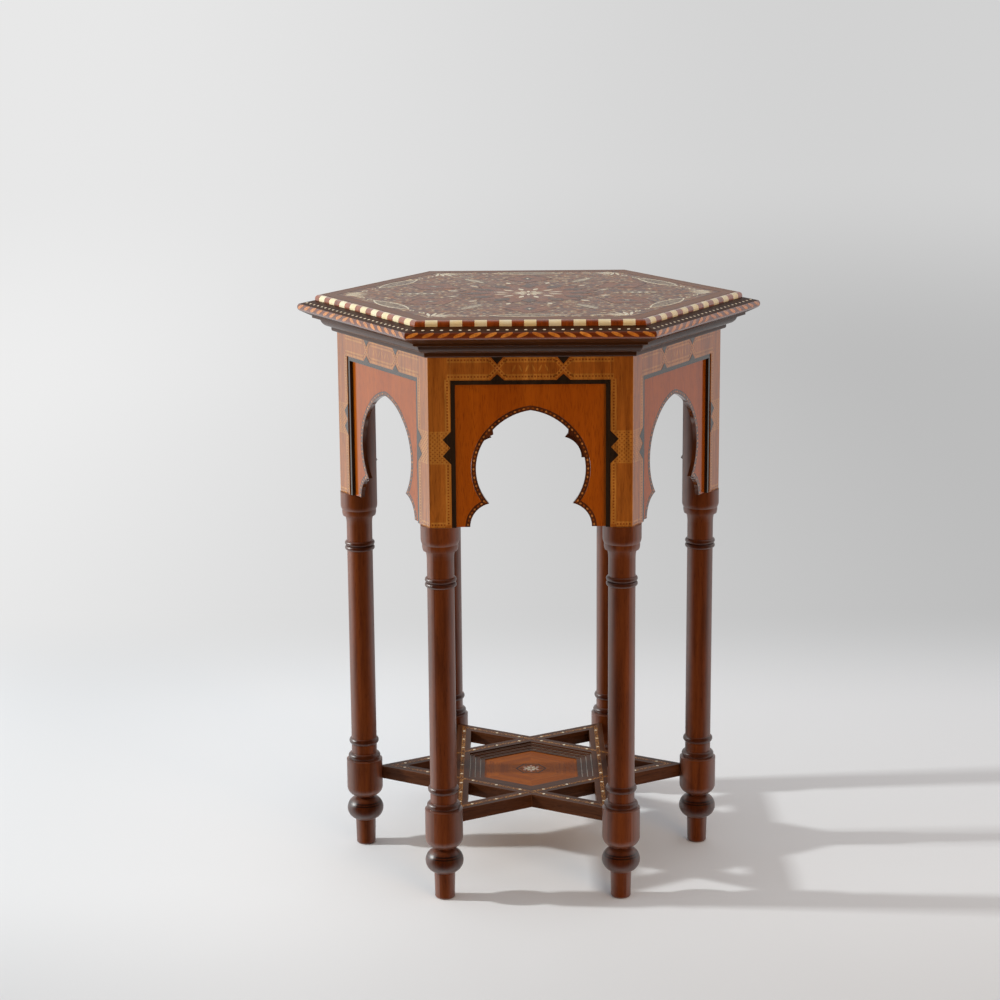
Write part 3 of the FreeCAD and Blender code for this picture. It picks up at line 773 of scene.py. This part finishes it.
def stile_inlay(inlay, mirror):
    """Everything on one stile; mirror is -1 on the left one."""
    zigzag, field = stile_outlines()
    lower = [(STILE_BAND_AT, STILE_BAND_FOOT), (STILE_BAND_AT, MOTIF_LOW)]
    upper = [(STILE_BAND_AT, MOTIF_HIGH), (STILE_BAND_AT, RAIL_BAND_LOW - BAND_WIDTH / 2)]
    foot = [(STILE_BAND_AT + BAND_WIDTH / 2, STILE_BAND_FOOT), (STILE_BAND_END, STILE_BAND_FOOT)]
    for path in (lower, upper, foot):
        dotted_band(inlay, mirrored(path, mirror))
    inlay.plate(mirrored(field, mirror), band_wood)
    for centre in stile_cells():
        inlay.plate(mirrored(rhombus(CELL_DOT, CELL_DOT, centre), mirror), band_dot, layer=2)
    inlay.plate(mirrored(zigzag, mirror), ebony, layer=4)


def frame_inlay(side):
    face = side_face(side, APRON)
    inlay = Inlay(f"frame_inlay_{side + 1}", "banding_wood", face, band_wood, band_dot, amber, ebony)
    rail_bands(inlay)
    rail_strokes(inlay)
    rail_triangles(inlay)
    for mirror in (-1, 1):
        stile_inlay(inlay, mirror)
    inlay.make()


# The arch as the CAD draws it: one lobe each side, a pointed head and a foot that springs outwards

SPRING = APRON_BOTTOM + 67.5 * MM
LOBE_RADIUS = 62.6 * MM
LOBE_LOW_ANGLE = -40
LOBE_HIGH_ANGLE = 46.1
POINT_RADIUS = 71.8 * MM
POINT_OFFSET = 9.9 * MM
POINT_LEVEL = SPRING - 3 * MM
POINT_START_ANGLE = 42.1
FOOT_HALF = 69.7 * MM
BANDING = 5.5 * MM
FOOT_TRIM = 2
FOOT_STEPS = 10
LOBE_TRIM = 3
LOBE_STEPS = 18
HEAD_STEPS = 10
ARCH_PITCH = 5.1 * MM
ARCH_DOT = (3.5 * MM, 2.5 * MM)


def arch_paths():
    """The middle line of the right half of the banding: foot, lobe and head, trimmed clear of the cusps."""
    grow = BANDING / 2
    cusp = polar(LOBE_RADIUS, LOBE_LOW_ANGLE, (0, SPRING))
    run = FOOT_HALF - cusp.x
    rise = cusp.y - APRON_BOTTOM
    foot_radius = (run ** 2 + rise ** 2) / (2 * run)
    foot_centre = (FOOT_HALF - foot_radius, APRON_BOTTOM)
    foot_angle = math.degrees(math.atan2(rise, cusp.x - foot_centre[0]))
    head_centre = (-POINT_OFFSET, POINT_LEVEL)
    apex_angle = math.degrees(math.acos(POINT_OFFSET / (POINT_RADIUS + grow)))
    foot = arc(foot_centre, foot_radius + grow, 0, foot_angle - FOOT_TRIM, FOOT_STEPS)
    lobe_start = LOBE_LOW_ANGLE + LOBE_TRIM
    lobe = arc((0, SPRING), LOBE_RADIUS + grow, lobe_start, LOBE_HIGH_ANGLE, LOBE_STEPS)
    head = arc(head_centre, POINT_RADIUS + grow, POINT_START_ANGLE, apex_angle, HEAD_STEPS)
    return foot, lobe, head


def arch_inlay(side):
    """Light and brown dots in turn along the banding."""
    inlay = Inlay(f"arch_inlay_{side + 1}", "banding_wood", side_face(side, PANEL), amber, band_dot)
    for mirror in (-1, 1):
        for path in arch_paths():
            for number, (point, heading) in enumerate(spaced(mirrored(path, mirror), ARCH_PITCH)):
                finish = band_dot if number % 2 else amber
                inlay.plate(rhombus(*ARCH_DOT, point, heading), finish, layer=2)
    inlay.make()


# Top edge: bone dots on the slope, and a rope of two woods on the lip

SLOPE_HEAD = Vector((223.17 * MM, EDGE_TOP))
SLOPE_FOOT = Vector((LIP - 2 * MM, EDGE_UNDER + 14.4 * MM))
EDGE_DOT = (3.6 * MM, 2.9 * MM)
EDGE_DOTS = 26
EDGE_DOT_AT = 0.62
DOT_LINE = SLOPE_HEAD.lerp(SLOPE_FOOT, EDGE_DOT_AT)
LIP_RADIUS = 5.2 * MM
LIP_MIDDLE = EDGE_UNDER + 10.3 * MM
LIP_REACH = 50
ROPE_TURNS = 16
ROPE_LEAN = 5.2 * MM
ROPE_HALF = 4.4 * MM
ROPE_BLUNT = 1.02
ROPE_LOW = -22
ROPE_STEPS = 8
ROPE_MITRE_GAP = 0.2 * MM
ROPE_LEAST = 0.3 * MM


def slope_face(side):
    outward, right = side_axes(side)
    climb = (SLOPE_HEAD - SLOPE_FOOT).normalized()
    return Face(outward * DOT_LINE.x + UP * DOT_LINE.y, right, outward * climb.x + UP * climb.y)


def lip_point(side, along, degrees):
    """A point on the rounded lip and its normal, by the distance along the side and the angle round it."""
    outward, right = side_axes(side)
    angle = math.radians(degrees)
    normal = outward * math.cos(angle) + UP * math.sin(angle)
    axis = outward * (LIP - LIP_RADIUS) + UP * LIP_MIDDLE
    return axis + right * along + normal * LIP_RADIUS, normal


def lip_half(degrees):
    """Half the lip's length at that angle round it, up to the mitre."""
    return (LIP - LIP_RADIUS + LIP_RADIUS * math.cos(math.radians(degrees))) * TAN30


def lip_shell(side):
    """The brown bead under the rope, from mitre to mitre."""
    rows = []
    for step in range(ROPE_STEPS + 1):
        degrees = -LIP_REACH + 2 * LIP_REACH * step / ROPE_STEPS
        rows.append([lip_point(side, share * lip_half(degrees), degrees) for share in (-1, 0, 1)])
    return rows


def rope_strand(side, middle):
    """One slanted strand that leans towards the middle of its side, or None where the mitre cuts it off."""
    lean = ROPE_LEAN if middle < 0 else -ROPE_LEAN
    rows = []
    for step in range(ROPE_STEPS + 1):
        share = step / ROPE_STEPS
        degrees = ROPE_LOW + (LIP_REACH - ROPE_LOW) * share
        centre = middle + lean * (2 * share - 1)
        half = ROPE_HALF * math.sqrt(ROPE_BLUNT - (2 * share - 1) ** 2)
        limit = lip_half(degrees) - ROPE_MITRE_GAP
        spots = [max(-limit, min(limit, centre + half * k)) for k in (-1, 0, 1)]
        if spots[2] - spots[0] < ROPE_LEAST:
            return None
        rows.append([lip_point(side, spot, degrees) for spot in spots])
    return rows


def edge_inlay(side):
    lip_wood = lip_woods[side % len(lip_woods)]
    face = slope_face(side)
    inlay = Inlay(f"edge_inlay_{side + 1}", "edge_wood", face, edge_pearl, rope_wood, lip_wood)
    half = DOT_LINE.x * TAN30
    for point, _ in spaced([(-half, 0), (half, 0)], 2 * half / EDGE_DOTS):
        inlay.plate(oval(*EDGE_DOT, point), edge_pearl)
    inlay.shell(lip_shell(side), lip_wood)
    pitch = 2 * lip_half(0) / ROPE_TURNS
    for number in range(ROPE_TURNS):
        strand = rope_strand(side, pitch * (number + 0.5) - lip_half(0))
        if strand:
            inlay.shell(strand, rope_wood, layer=3)
    inlay.make()


# Star: gold strings along the bars, pale lines of painted highlight on the shelf's steps, and the medallion

STRING_WIDTH = 4.6 * MM
STRING_DOT = 3.0 * MM
STRING_DOT_PITCH = 35 * MM
STRING_SPECK = 1.8 * MM
STRING_SPECK_PITCH = 5.8 * MM
STEP_WIDTH = 6.5 * MM
STEP_TOPS = [MOULDING_UNDER + rise * MM for rise in (8.0, 6.5, 5.4)]
STEP_LINE = 0.9 * MM
VENEER_INSET = 1 * MM
MEDALLION_MARGIN = 4 * MM
ROSETTE_APOTHEM = 16 * MM
ROSETTE_LINE = 1.8 * MM

# Rhombs of the rosette: length, width, distance from the middle and turn
ROSETTE_PETAL = (8 * MM, 4.4 * MM, 5 * MM, 0)
ROSETTE_TIP = (5 * MM, 3.6 * MM, 12.5 * MM, 0)
ROSETTE_LEAF = (6 * MM, 4 * MM, 9 * MM, STEP / 2)


def bar_strings():
    """A mosaic string along the middle of the bars, one closed triangle for each three of them."""
    inlay = Inlay("bar_strings", "stretcher_wood", level_face(BAR_TOP), gold_mosaic, rosewood, pearl)
    corner = BAR_TIP / 2 + MOULDING_APOTHEM
    for triangle in range(2):
        path = [polar(corner, STEP * triangle + 2 * STEP * i) for i in range(3)]
        inlay.strip(path, STRING_WIDTH, gold_mosaic, layer=2 - triangle, closed=True)
        for start, end in around(path):
            for point, heading in spaced([start, end], STRING_SPECK_PITCH):
                inlay.plate(square(STRING_SPECK, point, heading), rosewood, layer=3)
            for point, heading in spaced([start, end], STRING_DOT_PITCH):
                inlay.plate(square(STRING_DOT, point, heading + 45), pearl, layer=4)
    inlay.make()


def shelf_lines():
    """A pale line on the outer edge of each step, painted highlight with some edge wear, and six matched
    veneers in the field.
    """
    field = level_face(FIELD_TOP)
    inlay = Inlay("shelf_inlay", "shelf_veneer", field, step_highlight_and_wear, *shelf_woods)
    for number, top in enumerate(STEP_TOPS):
        apothem = MOULDING_APOTHEM - STEP_WIDTH * number - STEP_LINE
        inlay.face = level_face(top)
        # Painted highlight, with some edge wear, along each step's edge
        inlay.strip(hexagon(apothem, STEP / 2), STEP_LINE, step_highlight_and_wear, closed=True)
    inlay.face = field
    ring = hexagon(FIELD_APOTHEM - VENEER_INSET, STEP / 2)
    hole = hexagon(MEDALLION_APOTHEM + MEDALLION_MARGIN, STEP / 2)
    inlay.border(ring, hole, shelf_woods)
    inlay.make()


def medallion_inlay():
    """A six-pointed rosette of light rhombs in a dark outline."""
    face = level_face(FIELD_TOP)
    inlay = Inlay("medallion_inlay", "medallion_inlay", face, pearl, amber, rosewood, dark_line)
    inlay.strip(hexagon(ROSETTE_APOTHEM), ROSETTE_LINE, dark_line, closed=True)
    rhombs = ((ROSETTE_PETAL, pearl), (ROSETTE_TIP, rosewood), (ROSETTE_LEAF, amber))
    for start in TURNS:
        for (length, width, away, turn), finish in rhombs:
            degrees = start + turn
            inlay.plate(rhombus(length, width, polar(away, degrees), degrees), finish, layer=2)
    inlay.make()


# Top marquetry

BORDER_APOTHEM = 200 * MM
BORDER_INSET = 3 * MM
BORDER_LINE = 1.0 * MM
OUTLINE_WIDTH = 1.2 * MM
LEAF_STEPS = 5
RAYS = 12
RAY_STEP = 360 / RAYS
STAR_TIP = 86 * MM
STAR_VALLEY = 62 * MM
DIAMOND_AT = 94 * MM
DIAMOND = (15 * MM, 6.4 * MM)
SPINDLE_FROM = 108 * MM
SPINDLE_TO = 160 * MM
SPINDLE_WIDTH = 19 * MM
CHAIN_LENGTH = 6 * MM
CHAIN_WIDTH = 10 * MM
CHAIN_TAPER = 1.6 * MM
CHAIN_PITCH = 9 * MM
CHAIN_HALF = 2
HEART_AT = 134 * MM
HEART = (30 * MM, 16 * MM)
SEED = (8 * MM, 4 * MM)
CARTOUCHE_AT = 186 * MM
CARTOUCHE = (88 * MM, 21 * MM)
CARTOUCHE_LINE = 1.8 * MM
FLOWER_WIDTH = 7 * MM
FLOWER_HEART_WIDTH = 3.2 * MM
CORNER_FAN_AT = 226 * MM
FAN_SPREADS = (-36, -18, 0, 18, 36)

# Small motifs beside each cartouche: distance along the side, distance from the middle, and length
FLOWERS = ((54 * MM, 187 * MM, 9 * MM), (76 * MM, 186 * MM, 15 * MM))

# Leaves along a radius: start, end and width
INNER_LEAF = (4 * MM, 20 * MM, 4.2 * MM)
OUTER_LEAF = (25 * MM, 43 * MM, 5.6 * MM)
FAN_LEAF = (6 * MM, 34 * MM, 4.0 * MM)

# Kites along a radius: start, waist, end, and the degrees that the waist spreads to each side
STAR_KITE = (46 * MM, 64 * MM, 82 * MM, 9)
PATCH_KITE = (96 * MM, 136 * MM, 170 * MM, 13)


def sliver(start, end, width, degrees):
    """A leaf-shaped piece along a radius."""
    leaf = lens(end - start, width, LEAF_STEPS)
    return turned(moved(leaf, (start + end) / 2, 0), degrees)


def kite(start, waist, end, spread, degrees):
    """A four-cornered piece along a radius, widest at its waist."""
    sides = [polar(waist, degrees + turn) for turn in (spread, -spread)]
    return [polar(start, degrees), sides[0], polar(end, degrees), sides[1]]


def top_border(face):
    inlay = Inlay("top_border", "top_marquetry", face, *border_woods, rosewood)
    inlay.border(hexagon(TOP_APOTHEM), hexagon(BORDER_APOTHEM), border_woods)
    for apothem in (TOP_APOTHEM - BORDER_INSET, BORDER_APOTHEM):
        inlay.strip(hexagon(apothem), BORDER_LINE, rosewood, layer=2, closed=True)
    inlay.make()


def top_star(face):
    """The middle: a rosette of slivers, twelve dark kites, and a light diamond between each two."""
    inlay = Inlay("top_star", "top_marquetry", face, pearl, red_mosaic, dark_mosaic, rosewood)
    tips = [polar(STAR_TIP if i % 2 else STAR_VALLEY, RAY_STEP / 2 * i) for i in range(2 * RAYS)]
    inlay.plate(tips, red_mosaic)
    inlay.strip(tips, OUTLINE_WIDTH, rosewood, layer=2, closed=True)
    for number in range(RAYS):
        degrees = RAY_STEP * number
        gap = degrees + RAY_STEP / 2
        inlay.plate(sliver(*INNER_LEAF, degrees), pearl, layer=3)
        inlay.plate(sliver(*OUTER_LEAF, gap), pearl, layer=3)
        inlay.plate(kite(*STAR_KITE, degrees), dark_mosaic, layer=3)
        inlay.plate(rhombus(*DIAMOND, polar(DIAMOND_AT, gap), gap), pearl, layer=2)
    inlay.make()


def top_spindles(face):
    """Pointed ovals of pale mosaic towards the corners, with a chain of light leaves in each."""
    inlay = Inlay("top_spindles", "top_marquetry", face, pearl, grey_mosaic)
    middle = (SPINDLE_FROM + SPINDLE_TO) / 2
    outline = moved(lens(SPINDLE_TO - SPINDLE_FROM, SPINDLE_WIDTH), middle, 0)
    for degrees in TURNS:
        inlay.plate(turned(outline, degrees), grey_mosaic, layer=2)
        for offset in range(-CHAIN_HALF, CHAIN_HALF + 1):
            width = CHAIN_WIDTH - CHAIN_TAPER * abs(offset)
            leaf = rhombus(CHAIN_LENGTH, width, (middle + offset * CHAIN_PITCH, 0))
            inlay.plate(turned(leaf, degrees), pearl, layer=3)
    inlay.make()


def top_patches(face):
    """Reddish rhombs between the star and the cartouches, each with a dark heart and a light seed."""
    inlay = Inlay("top_patches", "top_marquetry", face, red_mosaic, dark_mosaic, pearl, rosewood)
    for start in TURNS:
        degrees = start + STEP / 2
        patch = kite(*PATCH_KITE, degrees)
        inlay.plate(patch, red_mosaic)
        inlay.strip(patch, OUTLINE_WIDTH, rosewood, layer=2, closed=True)
        centre = polar(HEART_AT, degrees)
        inlay.plate(rhombus(*HEART, centre, degrees), dark_mosaic, layer=2)
        inlay.plate(rhombus(*SEED, centre, degrees), pearl, layer=3)
    inlay.make()


def corner_fan(inlay, degrees):
    """Light leaves that spread inwards from a corner."""
    for spread in FAN_SPREADS:
        leaf = moved(turned(sliver(*FAN_LEAF, 180), spread), CORNER_FAN_AT, 0)
        inlay.plate(turned(leaf, degrees), pearl, layer=2)


def top_cartouches(face):
    """A light-lined cartouche at the middle of each side, small motifs beside it and a fan in each corner."""
    inlay = Inlay("top_cartouches", "top_marquetry", face, pearl, grey_mosaic, rosewood)
    outline = moved(lens(*CARTOUCHE), 0, -CARTOUCHE_AT)
    for degrees in TURNS:
        inlay.plate(turned(outline, degrees), grey_mosaic, layer=2)
        inlay.strip(turned(outline, degrees), CARTOUCHE_LINE, pearl, layer=3, closed=True)
        for mirror in (-1, 1):
            for along, across, length in FLOWERS:
                flower = rhombus(length, FLOWER_WIDTH, (mirror * along, -across))
                inlay.plate(turned(flower, degrees), pearl, layer=2)
                heart = rhombus(length / 2, FLOWER_HEART_WIDTH, (mirror * along, -across))
                inlay.plate(turned(heart, degrees), rosewood, layer=3)
        corner_fan(inlay, degrees)
    inlay.make()


def make_inlays():
    for side in range(SIDES):
        frame_inlay(side)
        arch_inlay(side)
        edge_inlay(side)
    bar_strings()
    shelf_lines()
    medallion_inlay()
    top = level_face(TOP)
    top_border(top)
    top_star(top)
    top_spindles(top)
    top_patches(top)
    top_cartouches(top)


# Studio: a pale floor and round backdrop, a key lamp on the left, a warm one in front, and the room's light

FLOOR_RADIUS = 3.4
WALL_RADIUS = 4.4
WALL_HEIGHT = 4.0
STAGE_STEPS = 96
SWEEP_STEPS = 12
PAPER_SCALE = 500
PAPER_ROUGHNESS = (0.85, 1.0)
PAPER_BUMP = 0.05
FADE_FROM = 1.3
FADE_TO = 2.6
BACK_FADE = (0.5, 1.1)
FLOOR_COLOUR = tint(248, 249, 252)
# Painted shade on the floor beside the lamp, evening out its bright pool
FLOOR_PAINTED_SHADE_BY_LAMP = tint(224, 225, 228)
FLOOR_PAINTED_SHADE_BY_LAMP_SPAN = (-0.8, -0.2)
# Painted shade on the floor in front of the table
FLOOR_FRONT_PAINTED_SHADE = tint(235, 235, 235)
FLOOR_FRONT_PAINTED_SHADE_SPAN = (-0.6, -0.1)
# Painted light falloff on the backdrop: paler on the lamp's side at the left, darkest low on the right
PALE_LEFT_LOW = tint(238, 238, 238)
PALE_LEFT_HIGH = tint(232, 232, 232)
PALE_RIGHT_LOW = tint(188, 188, 188)
PALE_RIGHT_HIGH = tint(210, 210, 210)
PALE_SPAN = (-1.5, 1.1)
PALE_RISE = 0.5
FILL = 0.52
ZENITH = 0.12
ZENITH_SPAN = (0.5, 0.95)
ROOM_DARK = 0.15
ROOM_FRONT_SPAN = (-0.8, -0.1)
ROOM_ABOVE_SPAN = (0.35, 0.75)
ROOM_COLOUR = (0.97, 0.985, 1.0, 1.0)

# Lamps: place, aim, size, power and colour
KEY_LAMP = (Vector((-2.7, -0.02, 1.38)), Vector((0.1, 0.0, 0.3)), 0.14, 63, (0.97, 1.0, 0.98))
FRONT_LAMP = (Vector((1.9, -3.1, 1.15)), Vector((0.0, 0.0, 0.5)), 1.6, 34, (1.0, 0.6, 0.26))


def seen_ray(shader):
    """1 for rays from the camera, and those that polish or glass sends on."""
    path = shader.add("ShaderNodeLightPath").outputs
    seen = shader.math("MAXIMUM", path["Is Camera Ray"], path["Is Glossy Ray"])
    return path, shader.math("MAXIMUM", seen, path["Is Transmission Ray"])


def room_light(shader, direction):
    """How bright the room is in a direction: dark behind the camera, pale everywhere else."""
    parts = shader.axes(direction)
    behind = shader.span(parts["Y"], *ROOM_FRONT_SPAN)
    above = shader.span(parts["Z"], *ROOM_ABOVE_SPAN)
    return shader.level(shader.math("MAXIMUM", behind, above), ROOM_DARK, 1.0)


def backdrop_glow(shader):
    """The pale backdrop as it is seen, with painted light falloff that leaves it darkest low on the right,
    and as dark in polish as the room is.
    """
    parts = shader.axes(shader.position)
    path, seen = seen_ray(shader)
    across = shader.span(parts["X"], *PALE_SPAN)
    near_floor = shader.between(across, PALE_LEFT_LOW, PALE_RIGHT_LOW)
    higher = shader.between(across, PALE_LEFT_HIGH, PALE_RIGHT_HIGH)
    rise = shader.span(parts["Z"], 0.0, PALE_RISE)
    colour = shader.blend("MIX", rise, near_floor, higher)
    room = room_light(shader, shader.vector("NORMALIZE", shader.position)["Vector"])
    strength = shader.math("MAXIMUM", room, path["Is Camera Ray"])
    emission = shader.add("ShaderNodeEmission", {"Color": colour, "Strength": strength})
    return emission.outputs["Emission"], seen


def floor_material():
    """Paper near the table, darkened with painted shade beside the lamp and in front, that fades into the
    backdrop.
    """
    shader = Shader("floor_paper")
    glow, seen = backdrop_glow(shader)
    distance = shader.vector("LENGTH", shader.position)["Value"]
    parts = shader.axes(shader.position)
    back = shader.span(parts["Y"], *BACK_FADE)
    far = shader.math("MAXIMUM", back, shader.span(distance, FADE_FROM, FADE_TO))
    beside = shader.span(parts["X"], *FLOOR_PAINTED_SHADE_BY_LAMP_SPAN)
    front = shader.span(parts["Y"], *FLOOR_FRONT_PAINTED_SHADE_SPAN)
    # Painted shade beside the lamp
    colour = shader.between(beside, FLOOR_PAINTED_SHADE_BY_LAMP, FLOOR_COLOUR)
    # Painted shade in front
    colour = shader.shade(colour, 1.0, front, FLOOR_FRONT_PAINTED_SHADE)
    fibres = shader.noise(shader.position, PAPER_SCALE, detail=3)
    shader.finish(colour, shader.level(fibres, *PAPER_ROUGHNESS), fibres, PAPER_BUMP)
    return shader.show(shader.math("MULTIPLY", seen, far), shader.surface.outputs["BSDF"], glow)


def wall_material():
    """Seen by the camera and in polish; the room's light comes through it."""
    shader = Shader("backdrop_paper")
    glow, seen = backdrop_glow(shader)
    clear = shader.add("ShaderNodeBsdfTransparent")
    return shader.show(seen, clear.outputs["BSDF"], glow)


def revolve(name, profile, material, closed=False):
    """A surface turned about the vertical, from (radius, height) points."""
    angles = full_turn(STAGE_STEPS)
    vertices = []
    for radius, height in profile:
        vertices += [(radius * math.cos(a), radius * math.sin(a), height) for a in angles]
    faces = []
    for row in range(len(profile) - 1):
        inner = row * STAGE_STEPS
        outer = inner + STAGE_STEPS
        faces += [(inner + i, outer + i, outer + j, inner + j) for i, j in around(range(STAGE_STEPS))]
    if closed:
        faces.append(list(range(STAGE_STEPS)))
    stage = add_mesh(name, vertices, faces, [material], use_smooth=[True] * len(faces))


def make_studio():
    revolve("floor", [(FADE_FROM, 0.0), (FADE_TO, 0.0), (FLOOR_RADIUS, 0.0)], floor_material(), closed=True)
    bend = WALL_RADIUS - FLOOR_RADIUS
    sweep = [tuple(point) for point in arc((FLOOR_RADIUS, bend), bend, -90, 0, SWEEP_STEPS)]
    revolve("backdrop", sweep + [(WALL_RADIUS, WALL_HEIGHT)], wall_material())


class World(Shader):
    """The room's light, with the same short calls as a material."""

    def __init__(self, name):
        self.world = bpy.data.worlds.new(name)
        self.world.use_nodes = True
        self.tree = self.world.node_tree
        self.background = self.tree.nodes["Background"]
        self.position = self.add("ShaderNodeTexCoord").outputs["Generated"]


def make_world():
    room = World("studio_fill")
    fill = room.math("MULTIPLY", room_light(room, room.position), FILL)
    upward = room.axes(room.position)["Z"]
    overhead = room.level(room.span(upward, *ZENITH_SPAN), 0.0, ZENITH)
    strength = room.math("ADD", fill, overhead)
    room.wire(room.background, {"Color": ROOM_COLOUR, "Strength": strength})
    bpy.context.scene.world = room.world


def make_lamp(name, place, aim, size, power, colour):
    lamp = bpy.data.lights.new(name, "AREA")
    lamp.size = size
    lamp.energy = power
    lamp.color = colour
    holder = add_object(name, lamp)
    holder.location = place
    holder.rotation_mode = "QUATERNION"
    holder.rotation_quaternion = (aim - place).to_track_quat("-Z", "Y")


# Camera, as fitted to the photograph

CAMERA_PLACE = Vector((-0.02236, -2.79121, 1.0791))
CAMERA_AIM = Vector((-0.03641, 0.0, 0.44445))
CAMERA_ROLL = -0.472
CAMERA_LENS = 83.785
SENSOR = 36.0


def make_camera():
    data = bpy.data.cameras.new("camera")
    data.lens = CAMERA_LENS
    data.sensor_width = SENSOR
    forward = (CAMERA_AIM - CAMERA_PLACE).normalized()
    level = forward.cross(UP).normalized()
    upright = level.cross(forward)
    roll = math.radians(CAMERA_ROLL)
    right = level * math.cos(roll) + upright * math.sin(roll)
    head = right.cross(forward)
    turn = Matrix((right, head, -forward)).transposed().to_4x4()
    camera = add_object("camera", data)
    camera.matrix_world = Matrix.Translation(CAMERA_PLACE) @ turn
    bpy.context.scene.camera = camera


dress_frame()
make_inlays()
make_studio()
make_world()
make_lamp("key", *KEY_LAMP)
make_lamp("front_fill", *FRONT_LAMP)
make_camera()
bpy.context.scene.view_settings.view_transform = "Standard"
